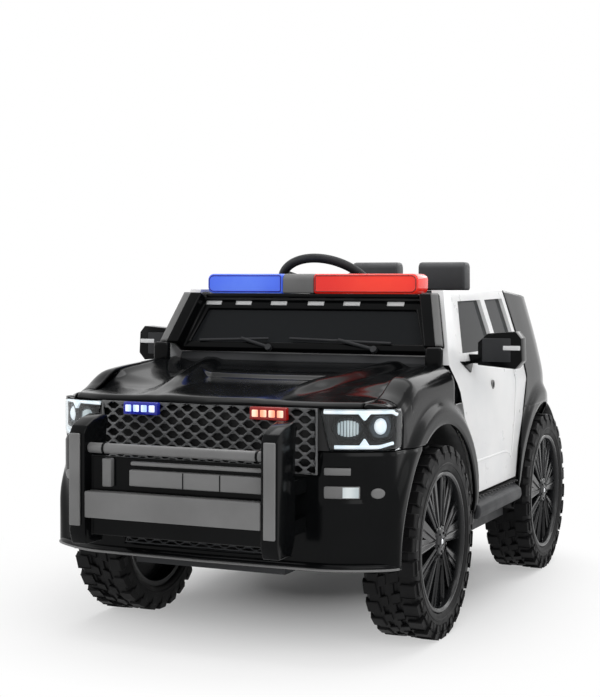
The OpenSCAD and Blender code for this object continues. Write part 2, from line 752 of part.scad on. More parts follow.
// Dashboard with the steering column
dash_half_w = 244;
wheel_lean = 49.7;
wheel_y = front_y + 419;
wheel_z = 576;
module on_column() { translate([steering_x, wheel_y, wheel_z]) rotate([wheel_lean - 90, 0, 0]) children(); }
column_r = 20;
shaft_r = 8;
module dashboard() {
    screen_rest_z = screen_z - frame_t / 2 * sin(screen_lean) - seam;
    // Side view: place from the front axle, height
    profile = from_front([
        [105, rail_top_z + seam], [105, 448], [112, screen_rest_z], [180, screen_rest_z], [275, 446],
        [307, 420], [307, rail_top_z + seam]
    ]);
    color(trim_grey) difference() {
        union() {
            along_x(-dash_half_w, dash_half_w) polygon(profile);
            on_column() translate([0, 0, -225]) cylinder(r = column_r, h = 203);
        }
        on_column() translate([0, 0, -200]) cylinder(r = shaft_r + run, h = 200);
    }
}
grip_r = 9;
module steering_wheel() {
    ring_r = steering_d / 2 - grip_r;
    color(trim_grey) on_column() union() {
        translate([0, 0, -195]) cylinder(r = shaft_r, h = 200);
        translate([0, 0, -16]) cylinder(r = 34, h = 24);
        rotate_extrude() translate([ring_r, 0]) circle(grip_r);
        for (turn = [90, 210, 330]) rotate([0, 0, turn]) translate([24, -11, -6]) cube([ring_r - 24, 22, 10]);
    }
}

// Bench
seat_front_y = rear_y - 235;
seat_top_z = 300;
back_top_z = 575;
module seat() {
    // Side view: place from the rear axle, height
    profile = [
        [-235, deck_z + seam], [-235, seat_top_z - 14], [-221, seat_top_z], [-40, seat_top_z],
        [-2, back_top_z],
        [48, back_top_z], [52, deck_z + seam]
    ];
    color(trim_grey) along_x(-bench_half_w, bench_half_w) polygon(from_rear(profile));
}
headrest_h = 61;
headrest_top_z = back_top_z + headrest_h;
module headrests() {
    color(trim_grey) both_sides()
        along_x(headrest_x - headrest_w / 2, headrest_x + headrest_w / 2) polygon(from_rear([
            [0, back_top_z + seam], [-2, headrest_top_z - 8], [6, headrest_top_z], [36, headrest_top_z],
            [44, headrest_top_z - 8], [46, back_top_z + seam]
        ]));
}

// Steps under the doors
module side_steps() {
    step_y0 = front_y + 207 - door_gap + 0.5;
    step_y1 = rear_y - 196 + door_gap - 0.5;
    color(trim_grey) both_sides() along_y(step_y0, step_y1) polygon([
        [sill_x + seam, 165], [304, 167], [310, 176], [308, 190], [286, 206], [sill_x + seam, 206]
    ]);
}

// Rear quarters
quarter_low_z = 150;
rear_bumper_top_z = 240;
tail_low = [rear_y + 184, rear_bumper_top_z + seam];
tail_high = [rear_y + 150, 556];
tail_slope = (tail_high[0] - tail_low[0]) / (tail_high[1] - tail_low[1]);
function tail_at(z) = tail_low[0] + (z - tail_low[1]) * tail_slope;
tail_t = 14;
module quarter() {
    outline = concat(
        moved(door_rear, door_gap),
        [[rear_y - 196 + door_gap, quarter_low_z], [rear_y, quarter_low_z], [rear_y, tail_low[1]]],
        [tail_low, tail_high, [rear_y + 36, 564]]
    );
    color(body_black) difference() {
        union() {
            intersection() {
                union() {
                    side_skin(concat([rear_y - 200], tail_ys), side_zs, 0, skin_t);
                    ring_x(flare_x - 16, flare_x - 2, rear_y, axle_z, rear_arch_r, rear_arch_r + flare_w);
                }
                along_x(100, 330) polygon(outline);
            }
            intersection() {
                ring_x(rear_rail_x + seam, 291, rear_y, axle_z, rear_arch_r, rear_arch_r + liner_t - seam);
                union() {
                    box([rear_rail_x, rear_y - 300, quarter_low_z], [262, rear_y, 480]);
                    along_x(rear_rail_x, 294) intersection() {
                        polygon(outline);
                        translate([rear_y - 300, 0]) square([360, 480]);
                    }
                    box([rear_rail_x, rear_y, quarter_low_z], [236, rear_bumper_y - seam, 480]);
                }
            }
        }
        rod_x(rear_rail_x - over, 330, rear_y, axle_z, rear_arch_r);
    }
}
module quarter_left() { quarter(); }
module quarter_right() { mirror([1, 0, 0]) quarter(); }

// Tailgate, from the bumper up between the quarters
gate_zs = [tail_low[1], 330, 398, 452, 556];
function gate_half_w(z) = side_x(tail_at(z), z) - skin_t - 4.6;
module gate_slab(face, back) {
    skin(
        [for (z = gate_zs) [for (s = [1, -1]) [s * gate_half_w(z), tail_at(z) - face, z]]],
        [for (z = gate_zs) [for (s = [1, -1]) [s * gate_half_w(z), tail_at(z) - back, z]]]
    );
}
gate_window = [[-128, 440], [128, 440], [112, 530], [-112, 530]];
module tailgate() {
    color(body_black) difference() {
        gate_slab(0, tail_t);
        along_y(rear_y, tail_y + 50) polygon(gate_window);
    }
}
module rear_pane() {
    color(smoke_grey) intersection() {
        gate_slab(4, 4 + pane_t);
        along_y(rear_y, tail_y + 50) polygon(shrunk(gate_window, 0.6));
    }
}
module rear_bumper() {
    // Half of the plan: half width, place from the tail
    corner = [[190, 0], [226, -3], [244, -12], [244, -rear_bumper_t]];
    edge = [for (p = corner) [p[0], p[1] + tail_y]];
    color(body_black) difference() {
        along_z(190, rear_bumper_top_z) polygon(concat(edge, reversed(flipped(edge))));
        both_sides() rod_x(rear_rail_x, 330, rear_y, axle_z, rear_arch_r + liner_t);
    }
}
module tail_lamps() {
    color(lens_red) both_sides() intersection() {
        gate_slab(-9, -seam);
        box([142, rear_y, 356], [178, tail_y + 60, 430]);
    }
}

chassis();
front_bumper();
grille();
bull_bar();
bull_trim();
bull_board();
fog_bars();
hood();
fender_left();
fender_right();
headlamps();
headlamp_lenses();
strobe_blue();
strobe_red();
windscreen_frame();
windscreen();
lightbar_base();
lightbar_blue();
lightbar_red();
lightbar_block();
dashboard();
seat();
headrests();
side_steps();
quarter_left();
quarter_right();
tailgate();
rear_pane();
rear_bumper();
tail_lamps();
front_beam();
rear_axle();
drive_units();
battery();
door_left();
door_panes_left();
mirror_left();
door_right();
door_panes_right();
mirror_right();
steering_wheel();
knuckle_left();
knuckle_right();
tie_rod();
rim_front_left();
rim_front_right();
rim_rear_left();
rim_rear_right();
tyre_front_left();
tyre_front_right();
tyre_rear_left();
tyre_rear_right();
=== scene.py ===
import bpy
import bmesh
import json
from math import sin, cos, asin, pi, radians, hypot, sqrt
from mathutils import Vector, Matrix

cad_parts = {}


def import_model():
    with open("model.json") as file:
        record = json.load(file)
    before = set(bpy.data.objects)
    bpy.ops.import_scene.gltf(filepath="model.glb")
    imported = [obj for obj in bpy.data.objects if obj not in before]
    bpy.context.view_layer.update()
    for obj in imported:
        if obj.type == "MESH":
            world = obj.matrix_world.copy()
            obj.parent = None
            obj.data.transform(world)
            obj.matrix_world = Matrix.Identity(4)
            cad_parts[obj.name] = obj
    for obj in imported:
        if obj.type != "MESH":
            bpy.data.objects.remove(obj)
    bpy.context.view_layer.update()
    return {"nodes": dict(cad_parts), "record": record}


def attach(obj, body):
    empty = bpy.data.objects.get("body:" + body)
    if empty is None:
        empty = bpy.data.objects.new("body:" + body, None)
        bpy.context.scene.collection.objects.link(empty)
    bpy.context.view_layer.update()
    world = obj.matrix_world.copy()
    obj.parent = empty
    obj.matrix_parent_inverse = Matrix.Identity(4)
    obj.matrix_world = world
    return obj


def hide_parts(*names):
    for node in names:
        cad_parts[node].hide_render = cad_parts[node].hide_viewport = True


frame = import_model()
print("frame loaded")

bodyOf = {n: b for b, names in frame["record"]["behaviour"]["bodies"].items() for n in names}
slotOf = {p["node"]: p["material_slot"] for p in frame["record"]["subparts"]}
mm = 0.001
weld = 2e-5  # corners nearer than this, in metres, become one
toFront, toBack, toSide, toTop, toSky = (0, -1, 0), (0, 1, 0), (1, 0, 0), (0, 0, 1), (0, -1, 0.4)
sideSigns = {"Left": 1, "Right": -1}

# the car in millimetres, the same as its solids: nose towards -Y, left side +X
car = {"frontY": -252, "rearY": 428, "axleZ": 160, "frontArch": 195, "rearArch": 185, "archLip": (0.12, 5)}


def hexLinear(code):
    parts = [int(code[i:i + 2], 16) / 255 for i in (1, 3, 5)]
    return tuple(c / 12.92 if c <= 0.04045 else ((c + 0.055) / 1.055) ** 2.4 for c in parts) + (1.0,)


# settings are the node's own or its sockets' values; ramp is (place, colour) for a colour ramp's two stops
def addNode(tree, kind, settings=None, links=None, ramp=()):
    node = tree.nodes.new(kind)
    for key, value in (settings or {}).items():
        if isinstance(key, str) and hasattr(node, key):
            setattr(node, key, value)
        else:
            node.inputs[key].default_value = value
    for stop, (place, code) in zip(node.color_ramp.elements if ramp else (), ramp):
        stop.position, stop.color = place, hexLinear(code)
    for key, source in (links or {}).items():
        tree.links.new(source, node.inputs[key])
    return node


def startMaterial(name, settings):
    mat = bpy.data.materials.new(name)
    mat.use_nodes = True
    tree = mat.node_tree
    shader = tree.nodes["Principled BSDF"]
    for key, value in settings.items():
        shader.inputs[key].default_value = value
    coords = addNode(tree, "ShaderNodeTexCoord")
    return mat, tree, shader, coords.outputs["Object"]


# sizes of the patterns, in millimetres
patternSize = {"patch": 90, "rub": 35, "ripple": 60, "blotch": 70}


# a finish: colour drifts a little, gloss varies from patch to patch, fine grain from the tool
def makeFinish(name, light, dark, rough, grainMm, bump, specular=0.5, metal=0.0):
    settings = {"IOR": 1.5 if metal else 1.49, "Metallic": metal, "Specular IOR Level": specular}
    mat, tree, shader, coords = startMaterial(name, settings)
    where = {"Vector": coords}
    patch = addNode(tree, "ShaderNodeTexNoise", {"Scale": 1000 / patternSize["patch"], "Detail": 4.0}, where)
    tone = addNode(tree, "ShaderNodeValToRGB", None, {"Fac": patch.outputs["Fac"]}, ((0.35, dark), (0.65, light)))
    tree.links.new(tone.outputs["Color"], shader.inputs["Base Color"])
    rub = addNode(tree, "ShaderNodeTexNoise",
                  {"Scale": 1000 / patternSize["rub"], "Detail": 6.0, "Roughness": 0.65}, where)
    gloss = addNode(tree, "ShaderNodeMapRange",
                    {"From Min": 0.3, "From Max": 0.7, "To Min": rough[0], "To Max": rough[1]},
                    {"Value": rub.outputs["Fac"]})
    tree.links.new(gloss.outputs["Result"], shader.inputs["Roughness"])
    grain = addNode(tree, "ShaderNodeTexNoise", {"Scale": 1000 / grainMm, "Detail": 3.0}, where)
    relief = addNode(tree, "ShaderNodeBump", {"Strength": bump, "Distance": 0.0006}, {"Height": grain.outputs["Fac"]})
    tree.links.new(relief.outputs["Normal"], shader.inputs["Normal"])
    return mat


# polypropylene off a polished tool: deep black, with clear but faint reflections
blackGloss = makeFinish("blackGlossPolypropylene", "#0d0e0f", "#08090a", (0.12, 0.17), 9, 0.02, 0.09)
# rims: a base a little greyer than the body's black, a painted sheen that lifts the spokes' faces; wider highlights too
rimGlossPaintedSheen = makeFinish("blackGlossRimPaintedSheen", "#1a1b1d", "#121314", (0.18, 0.25), 9, 0.02, 0.35)
# polypropylene coloured white: clean and a little cold
whiteGloss = makeFinish("whiteGlossPolypropylene", "#ececec", "#e3e4e5", (0.26, 0.38), 9, 0.012)
# spark-grained trim: grey, soft sheen, fine pebble (drawn at 2 mm so that it shows)
greyTrim = makeFinish("grainedGreyPolypropylene", "#333436", "#292a2c", (0.45, 0.6), 2, 0.3, 0.25)
# the same grain in the lighter grey of the headrests
seatGrey = makeFinish("grainedSeatPolypropylene", "#47484a", "#3d3e40", (0.5, 0.62), 2, 0.3)
# metallic-grey spray paint on plastic: even satin
satinGrey = makeFinish("satinGreySprayPaint", "#787878", "#6e6e6e", (0.36, 0.48), 3, 0.08)
# dark grey on the upper grille's bars: satin, a little uneven
grilleGrey = makeFinish("darkGreyGrilleBars", "#6a6b6c", "#5a5b5c", (0.32, 0.45), 3, 0.1)
# blow-moulded tyre plastic: dull black, slightly chalky
tyreBlack = makeFinish("blowMouldedPolyethylene", "#121213", "#0b0b0c", (0.45, 0.62), 2.5, 0.35, 0.15)
# inner and hidden surfaces straight from the tool: dull black
mattBlack = makeFinish("mattBlackPolypropylene", "#131314", "#0b0b0c", (0.55, 0.75), 2, 0.3)
# zinc plate: cool grey, blotchy polish
steelGrey = makeFinish("zincPlatedSteel", "#a9abad", "#8d8f92", (0.25, 0.42), 4, 0.1, metal=1.0)
# vacuum-plated reflector: bright, with a faint ripple
chrome = makeFinish("vacuumPlatedReflector", "#eceef0", "#cfd2d5", (0.06, 0.14), 5, 0.08, metal=1.0)
# the same plating, darker, for the lamps' reflector cups
darkChrome = makeFinish("darkReflector", "#5f6468", "#484c50", (0.12, 0.22), 5, 0.08, metal=1.0)


# clear mouldings: see-through, with a faint ripple of the tool; a low IOR keeps the room's reflection faint
def clearMoulding(name, colour, roughness, transmission, ior):
    mat, tree, shader, coords = startMaterial(name, {
        "Base Color": hexLinear(colour), "Roughness": roughness, "IOR": ior, "Transmission Weight": transmission})
    ripple = addNode(tree, "ShaderNodeTexNoise", {"Scale": 1000 / patternSize["ripple"], "Detail": 3.0},
                     {"Vector": coords})
    relief = addNode(tree, "ShaderNodeBump", {"Strength": 0.04, "Distance": 0.0005},
                     {"Height": ripple.outputs["Fac"]})
    tree.links.new(relief.outputs["Normal"], shader.inputs["Normal"])
    return mat


# smoked polycarbonate: nearly opaque panes
smokedPane = clearMoulding("smokedPolycarbonate", "#242628", 0.1, 0.12, 1.16)
# clear polycarbonate lamp cover
lampClear = clearMoulding("clearPolycarbonate", "#f6fafc", 0.02, 1.0, 1.3)


# tinted acrylic lens: glows a little, with moulded flutes across its length
def tintedLens(name, light, dark, fluteMm, glow):
    mat, tree, shader, coords = startMaterial(name, {"Roughness": 0.14, "IOR": 1.49, "Emission Strength": glow})
    # a wave texture has 20 bands in each unit of its scale
    flutes = addNode(tree, "ShaderNodeTexWave",
                     {"bands_direction": "X", "Scale": 1000 / fluteMm / 20, "Distortion": 0.0}, {"Vector": coords})
    blotch = addNode(tree, "ShaderNodeTexNoise", {"Scale": 1000 / patternSize["blotch"], "Detail": 2.0},
                     {"Vector": coords})
    both = addNode(tree, "ShaderNodeMath", {"operation": "MULTIPLY"},
                   {0: flutes.outputs["Fac"], 1: blotch.outputs["Fac"]})
    tone = addNode(tree, "ShaderNodeValToRGB", None, {"Fac": both.outputs["Value"]}, ((0.05, dark), (0.55, light)))
    for socket in ("Base Color", "Emission Color"):
        tree.links.new(tone.outputs["Color"], shader.inputs[socket])
    return mat


lensBlue = tintedLens("blueAcrylicLens", "#5a82ff", "#3f66f2", 42, 0.3)
lensBlueRim = tintedLens("blueAcrylicRim", "#2a34c0", "#1d2592", 42, 0.05)
lensRed = tintedLens("redAcrylicLens", "#ff3a26", "#f0241a", 42, 0.3)
lensRedRim = tintedLens("redAcrylicRim", "#b01812", "#8a100d", 42, 0.05)
# frosted ribs in front of a lamp: pale, softly lit; the same pale glow paints the highlight on the fog bars' outer ends
frostedRibAndGlint = tintedLens("frostedLampRibAndPaintedGlint", "#d3dadb", "#b4bec1", 5, 0.28)
# lit diodes behind their lenses: near white, tinted in the hollows
whiteLed = tintedLens("whiteLedStrip", "#f4f8fa", "#dfe8ee", 5, 0.5)
blueLed = tintedLens("blueLedCluster", "#eaf2ff", "#a9c4ff", 4, 0.9)
redLed = tintedLens("redLedCluster", "#ffe0c8", "#ff9a78", 4, 0.9)

materialOf = {"black_gloss": blackGloss, "grey_trim": greyTrim, "white_gloss": whiteGloss, "satin_grey": satinGrey,
              "lens_blue": lensBlue, "lens_red": lensRed, "smoked_pane": smokedPane, "lamp_body": mattBlack,
              "lamp_lens": lampClear, "steel": steelGrey, "tyre": tyreBlack}
for nodeName, node in frame["nodes"].items():
    node.data.materials.clear()
    node.data.materials.append(materialOf[slotOf[nodeName]])
print("materials made")


def at(x, y, z):
    return Vector((x, y, z)) * mm


def mix(a, b, t):
    return a + (b - a) * t


def held(low, value, high):
    return min(high, max(low, value))


def ease(t):
    t = held(0, t, 1)
    return t * t * (3 - 2 * t)


def evenly(low, high, count):
    return [mix(low, high, i / count) for i in range(count + 1)]


# runs of even steps one after another, a place where two meet only once
def inRuns(*runs):
    return list(dict.fromkeys(x for run in runs for x in evenly(*run)))


def turns(count):
    return [2 * pi * k / count for k in range(count)]


# straight value from a table of (place, value) rows
def lineRow(table, x):
    for a, b in zip(table, table[1:]):
        if x <= b[0]:
            return mix(a[1], b[1], max(0, (x - a[0]) / (b[0] - a[0])))
    return table[-1][1]


# smooth value from such a table, without overshoot
def smoothRow(table, x):
    if x <= table[0][0]:
        return table[0][1]
    if x >= table[-1][0]:
        return table[-1][1]
    steps = [b[0] - a[0] for a, b in zip(table, table[1:])]
    slopes = [(b[1] - a[1]) / h for a, b, h in zip(table, table[1:], steps)]
    tangents = [slopes[0]]
    for a, b in zip(slopes, slopes[1:]):
        tangents.append(2 * a * b / (a + b) if a * b > 0 else 0.0)
    tangents.append(slopes[-1])
    i = max(k for k in range(len(steps)) if table[k][0] <= x)
    h, t = steps[i], (x - table[i][0]) / steps[i]
    return ((1 + 2 * t) * (1 - t) ** 2 * table[i][1] + t * (1 - t) ** 2 * h * tangents[i]
            + t * t * (3 - 2 * t) * table[i + 1][1] + t * t * (t - 1) * h * tangents[i + 1])


def edgesOf(verts):
    return list(dict.fromkeys(e for v in verts for e in v.link_edges))


# turns faces outwards, or an open sheet's faces the given way
def faceOut(bm, faces=None, facing=None):
    faces = faces or bm.faces[:]
    bmesh.ops.recalc_face_normals(bm, faces=faces)
    if facing and sum((f.normal for f in faces), Vector()).dot(Vector(facing)) < 0:
        bmesh.ops.reverse_faces(bm, faces=faces)


# a sheet of quads over columns x rows, each corner put in its place, facing the given way
def addSheet(bm, columns, rows, place, facing):
    across, up = len(columns) - 1, len(rows) - 1
    made = bmesh.ops.create_grid(bm, x_segments=across, y_segments=up, size=0.5)["verts"]
    for v in made:
        v.co = place(columns[round((v.co.x + 0.5) * across)], rows[round((v.co.y + 0.5) * up)])
    faceOut(bm, list(dict.fromkeys(f for v in made for f in v.link_faces)), facing)


def bevelEdges(bm, edges, width, segments, slide=False):
    bmesh.ops.bevel(bm, geom=edges, offset=width * mm, segments=segments, profile=0.5, affect="EDGES", material=-1,
                    clamp_overlap=True, loop_slide=slide)


def roundEdges(bm, width, segments=3):
    bevelEdges(bm, [e for e in bm.edges if len(e.link_faces) == 2 and e.calc_face_angle(0) > radians(28)],
               width, segments, True)


# a block with its own corners: eight places given by a function of (-1 or 1, -1 or 1, -1 or 1)
def addBlock(bm, corner, soft, segments=2):
    made = bmesh.ops.create_cube(bm, size=2)["verts"]
    for v in made:
        v.co = corner(*v.co)
    bevelEdges(bm, edgesOf(made), soft, segments)


def addBox(bm, low, high, soft, segments=2):
    addBlock(bm, lambda *ends: at(*(a if end < 0 else b for a, b, end in zip(low, high, ends))), soft, segments)


# a box on the left side and its mirror image
def addBoxPair(bm, low, high, soft, segments):
    addBox(bm, low, high, soft, segments)
    addBox(bm, (-high[0], *low[1:]), (-low[0], *high[1:]), soft, segments)


def addLoop(bm, points):
    ring = bmesh.ops.create_circle(bm, segments=len(points), radius=1)["verts"]
    for v, p in zip(ring, points):
        v.co = p
    return edgesOf(ring)


def joinLoops(bm, loops, filled=()):
    for a, b in zip(loops, loops[1:]):
        bmesh.ops.bridge_loops(bm, edges=a + b)
    for loop in filled:
        bmesh.ops.edgeloop_fill(bm, edges=loop)


# a round or flat bar along a line of points
def addTube(bm, points, radius, sides=12, flat=1.0, up=toTop):
    loops = []
    for i, p in enumerate(points):
        ahead = (points[min(i + 1, len(points) - 1)] - points[max(i - 1, 0)]).normalized()
        across = ahead.cross(Vector(up))
        across = across.normalized() if across.length > 1e-6 else Vector(toSide)
        over = across.cross(ahead)
        ring = bmesh.ops.create_circle(bm, segments=sides, radius=radius * mm)["verts"]
        for v in ring:
            v.co = p + across * (v.co.x * flat) + over * v.co.y
        loops.append(edgesOf(ring))
    joinLoops(bm, loops, (loops[0], loops[-1]))
    faceOut(bm, list(dict.fromkeys(f for loop in loops for e in loop for f in e.link_faces)))


# a turned shape: (radius, place along X) rows, spun about the X axis through y, z
def addTurned(bm, profile, y, z, steps, closed=False):
    verts = [bm.verts.new(at(x, y, z + r)) for r, x in profile]
    pairs = list(zip(verts, verts[1:])) + ([(verts[-1], verts[0])] if closed else [])
    edges = [bm.edges.new(p) for p in pairs]
    bmesh.ops.spin(bm, geom=verts + edges, cent=at(0, y, z), axis=(1, 0, 0), angle=2 * pi, steps=steps,
                   use_merge=True)


def mirrorAcross(bm):
    bmesh.ops.scale(bm, vec=(-1, 1, 1), verts=bm.verts)
    bmesh.ops.reverse_faces(bm, faces=bm.faces)


# smooth is the angle past which an edge stays sharp, wall a thickness inwards
def putPiece(bm, name, material, slot, smooth, replaced=(), wall=0.0, body="body"):
    mesh = bpy.data.meshes.new(name)
    bm.to_mesh(mesh)
    bm.free()
    for m in material if isinstance(material, list) else [material]:
        mesh.materials.append(m)
    mesh.shade_smooth()
    mesh.set_sharp_from_angle(angle=radians(smooth))
    piece = bpy.data.objects.new(name, mesh)
    bpy.context.scene.collection.objects.link(piece)
    if wall:
        skin = piece.modifiers.new("wall", "SOLIDIFY")
        skin.thickness, skin.offset, skin.use_even_offset = wall * mm, -1, True
    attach(piece, body)
    if replaced:
        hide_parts(*replaced)


# a piece drawn on the left side, mirrored first where it is for the right
def putSide(bm, side, name, *rest, **more):
    if side == "Right":
        mirrorAcross(bm)
    putPiece(bm, name, *rest, **more)


# hood: rows are place from the front axle, heights at middle, ridge, valley and edge, and half width of the ridge
hoodShape = {
    "rows": [(-264, 404.5, 404.5, 404.5, 404.5, 104), (-240, 408, 408, 406, 405, 108), (-190, 412, 415, 410, 406, 112),
             (-150, 415, 423, 414, 418, 118), (-105, 418, 431, 420, 438, 128), (-30, 422, 439, 427, 444, 145),
             (-14, 430, 441, 429, 445, 149), (50, 438, 447, 436, 449, 165), (104, 446, 452, 442, 452, 180)],
    "runs": ((-264, -248, 8), (-248, -40, 34), (-40, -8, 12), (-8, 104, 18)), "front": -264, "back": 104,
    "ridge": (-30, -7, 5, 32), "edge": (235, 255), "half": 253.6, "noseBack": [(0, 0), (192, 6), (262, 31)],
    "roll": 6.5, "rollRun": 14, "wall": 4.5}


def hoodPoint(x, d):
    middle, ridgeZ, valley, edge, ridge = (
        smoothRow([(r[0], r[k]) for r in hoodShape["rows"]], d) for k in range(1, 6))
    foot, crownFrom, crownTo, trough = (ridge + step for step in hoodShape["ridge"])
    bank, rim = hoodShape["edge"]
    across = [(0, middle), (foot, middle + 1), (crownFrom, ridgeZ), (crownTo, ridgeZ), (trough, valley),
              (bank, mix(valley, edge, 0.5)), (rim, edge)]
    front, back = hoodShape["front"], hoodShape["back"]
    rolled = max(0, 1 - (d - front) / hoodShape["rollRun"]) ** 2
    shift = smoothRow(hoodShape["noseBack"], abs(x)) * (back - d) / (back - front)
    return at(x, car["frontY"] + d + shift, smoothRow(across, abs(x)) - hoodShape["roll"] * rolled)


bm = bmesh.new()
addSheet(bm, evenly(-hoodShape["half"], hoodShape["half"], 120), inRuns(*hoodShape["runs"]), hoodPoint, toTop)
putPiece(bm, "hoodPanel", blackGloss, "black_gloss", 50, ["hood"], hoodShape["wall"])

# front fenders, in side view from the front axle; the pocket behind the shoulder takes the door's hinge
fenderShape = {
    "top": [(-215, 404), (-190, 405), (-160, 414), (-105, 438), (0, 446), (100, 452)],
    "side": [(150, 284), (214, 297), (320, 300), (372, 299.5)],
    "noseSide": [(-236, 257), (-233, 262), (-200, 297), (-160, 300)],
    "doorEdge": [(150, 204), (212, 204), (250, 196), (305, 176), (352, 138), (382, 124.5)],
    "hoodEdge": 255.8, "shoulder": 42, "square": 2.4, "skirt": 0.2, "flare": 9.5, "flareTo": 214, "fadeTo": 240,
    "archFrom": -2.9, "lampBack": -179, "lampZ": 345, "bumperTop": 331, "pocketShare": 0.698, "pocketZ": 382,
    "spread": 1.3, "browFront": -235.5, "browZ": 397, "browRoll": -237, "wall": 6,
    "liner": (133, 296, 186), "linerGap": 3.5, "linerWall": 2.5,
    "hingeBlock": ((276, 87, 372), (296, 107, 382)), "hingePin": (284, 97, (380, 404, 406), 5)}


# how far a skin swells out round its wheel arch
def flareAt(d, z, arch, shape):
    rho = hypot(d, z - car["axleZ"])
    drop, run = car["archLip"]
    lip = 1 - drop * max(0, 1 - (rho - arch) / run)
    return shape["flare"] * lip * (1 - ease((rho - shape["flareTo"]) / (shape["fadeTo"] - shape["flareTo"])))


# a point of the fender at a height, or on its rounded shoulder at a turn from its foot
def fenderPoint(d, z, turn=None):
    shape, power = fenderShape, fenderShape["square"]
    foot = smoothRow(shape["top"], d) - shape["shoulder"]
    side = smoothRow(shape["side"], min(z, foot) if turn is None else foot)
    if d < shape["noseSide"][-1][0]:
        side = min(side, smoothRow(shape["noseSide"], d))
    inward = side - shape["hoodEdge"]
    if turn is not None:
        z = foot + shape["shoulder"] * sin(turn) ** (2 / power)
        x = shape["hoodEdge"] + inward * max(0, cos(turn)) ** (2 / power)
    elif z > foot:
        x = shape["hoodEdge"] + inward * (1 - ((z - foot) / shape["shoulder"]) ** power) ** (1 / power)
    else:
        x = side
    return at(x + flareAt(d, z, car["frontArch"], shape), car["frontY"] + d, z)


# from a height (t = 0) over the shoulder to the hood's edge (t = 1)
def fenderOver(d, t, low):
    foot = smoothRow(fenderShape["top"], d) - fenderShape["shoulder"]
    skirt = fenderShape["skirt"]
    if foot < low:
        start = asin(((low - foot) / fenderShape["shoulder"]) ** (fenderShape["square"] / 2))
        return fenderPoint(d, 0, mix(start, pi / 2, t))
    if t < skirt:
        return fenderPoint(d, mix(low, foot, t / skirt))
    return fenderPoint(d, 0, (t - skirt) / (1 - skirt) * pi / 2)


def archAt(z, r):
    return sqrt(max(0, r * r - (z - car["axleZ"]) ** 2))


def archRise(arch, start, count):
    return [car["axleZ"] + arch * sin(a) for a in evenly(start, pi / 2, count)]


# a wheel arch's liner: a strip bent round the wheel, angles in degrees
def addLiner(bm, y, r, x0, x1, start, sweep):
    start = radians(start)
    verts = [bm.verts.new(at(x, y + r * cos(start), car["axleZ"] + r * sin(start))) for x in evenly(x0, x1, 6)]
    edges = [bm.edges.new(p) for p in zip(verts, verts[1:])]
    bmesh.ops.spin(bm, geom=verts + edges, cent=at(0, y, car["axleZ"]), axis=(1, 0, 0), angle=radians(sweep), steps=40)


def frontFender(side):
    shape, arch, y = fenderShape, car["frontArch"], car["frontY"]
    rise = archRise(arch, radians(shape["archFrom"]), 44)
    overLamp = [z for z in rise if z > shape["lampZ"]]
    front, back = evenly(shape["lampBack"], 0, 50), inRuns((0, shape["pocketShare"], 17), (shape["pocketShare"], 1, 7))
    band = evenly(car["axleZ"] + arch, shape["pocketZ"], 9)
    reach = lineRow(shape["doorEdge"], shape["pocketZ"])

    def behind(u, z):
        return fenderPoint(mix(archAt(z, arch), lineRow(shape["doorEdge"], z), u ** shape["spread"]), z)

    def before(u, z):
        return fenderPoint(mix(shape["lampBack"], -archAt(z, arch), u), z)

    def brow(d, t):
        rolled = t * max(0, 1 - (d - shape["browRoll"]) / hoodShape["rollRun"]) ** 2
        return fenderOver(d, t, shape["browZ"]) - at(0, 0, hoodShape["roll"] * rolled)

    # band over the wheel, shoulder, skin behind and before the arch, all on the same stations
    bm = bmesh.new()
    addSheet(bm, front, band, fenderPoint, toSide)
    addSheet(bm, back, band, behind, toSide)
    addSheet(bm, front + [reach * u ** shape["spread"] for u in back[1:18]], evenly(0, 1, 30),
             lambda d, t: fenderOver(d, t, shape["pocketZ"]), (1, 0, 1))
    addSheet(bm, back, rise, behind, toSide)
    addSheet(bm, evenly(0, 1, 50), overLamp, before, toSide)
    addSheet(bm, evenly(0, 1, 50), evenly(shape["bumperTop"], min(overLamp), 8), before, toSide)
    # brow over the lamp, rolled down at its front as the hood is
    addSheet(bm, evenly(shape["browFront"], shape["lampBack"], 28), evenly(0, 1, 14), brow, (1, -1, 1))
    bmesh.ops.remove_doubles(bm, verts=bm.verts, dist=weld)
    faceOut(bm, facing=toSide)
    node = ["fender_" + side.lower()]
    putSide(bm, side, "fenderSkin" + side, blackGloss, "black_gloss", 40, node, shape["wall"])
    # liner, with the block and pin of the door's hinge
    bm = bmesh.new()
    x0, x1, sweep = shape["liner"]
    addLiner(bm, y, arch + shape["linerGap"], x0, x1, shape["archFrom"], sweep)
    addBox(bm, *((x, y + d, z) for x, d, z in shape["hingeBlock"]), 1.5)
    x, d, heights, r = shape["hingePin"]
    addTube(bm, [at(x, y + d, z) for z in heights], r, 20)
    putSide(bm, side, "fenderLiner" + side, mattBlack, "black_gloss", 40, node, shape["linerWall"])


for side in sideSigns:
    frontFender(side)
print("hood and fenders made")

# nose in plan: half width and place from the front axle, carried on along the side
nosePlan = [(0, -264), (192, -258), (262, -233), (297, -200), (300, -160), (300, -90)]
noseRun = [0.0]
for a, b in zip(nosePlan, nosePlan[1:]):
    noseRun.append(noseRun[-1] + hypot(b[0] - a[0], b[1] - a[1]))
noseX = [(s, p[0]) for s, p in zip(noseRun, nosePlan)]
noseD = [(s, p[1]) for s, p in zip(noseRun, nosePlan)]


# a point of the nose: run along it from the middle (either way), distance outwards, height
def nosePoint(s, out, z):
    side = -1 if s < 0 else 1
    s = abs(s)
    dx, dd = (smoothRow(row, s + 1) - smoothRow(row, s - 1) for row in (noseX, noseD))
    length = hypot(dx, dd) or 1
    return at(side * (smoothRow(noseX, s) + out * dd / length),
              car["frontY"] + smoothRow(noseD, s) - out * dx / length, z)


# the run at which the nose's side reaches a place from the front axle, found by halving
def noseRunAt(d):
    low, high = 250.0, noseRun[-1]
    for i in range(30):
        middle = (low + high) / 2
        low, high = (middle, high) if smoothRow(noseD, middle) < d else (low, middle)
    return low


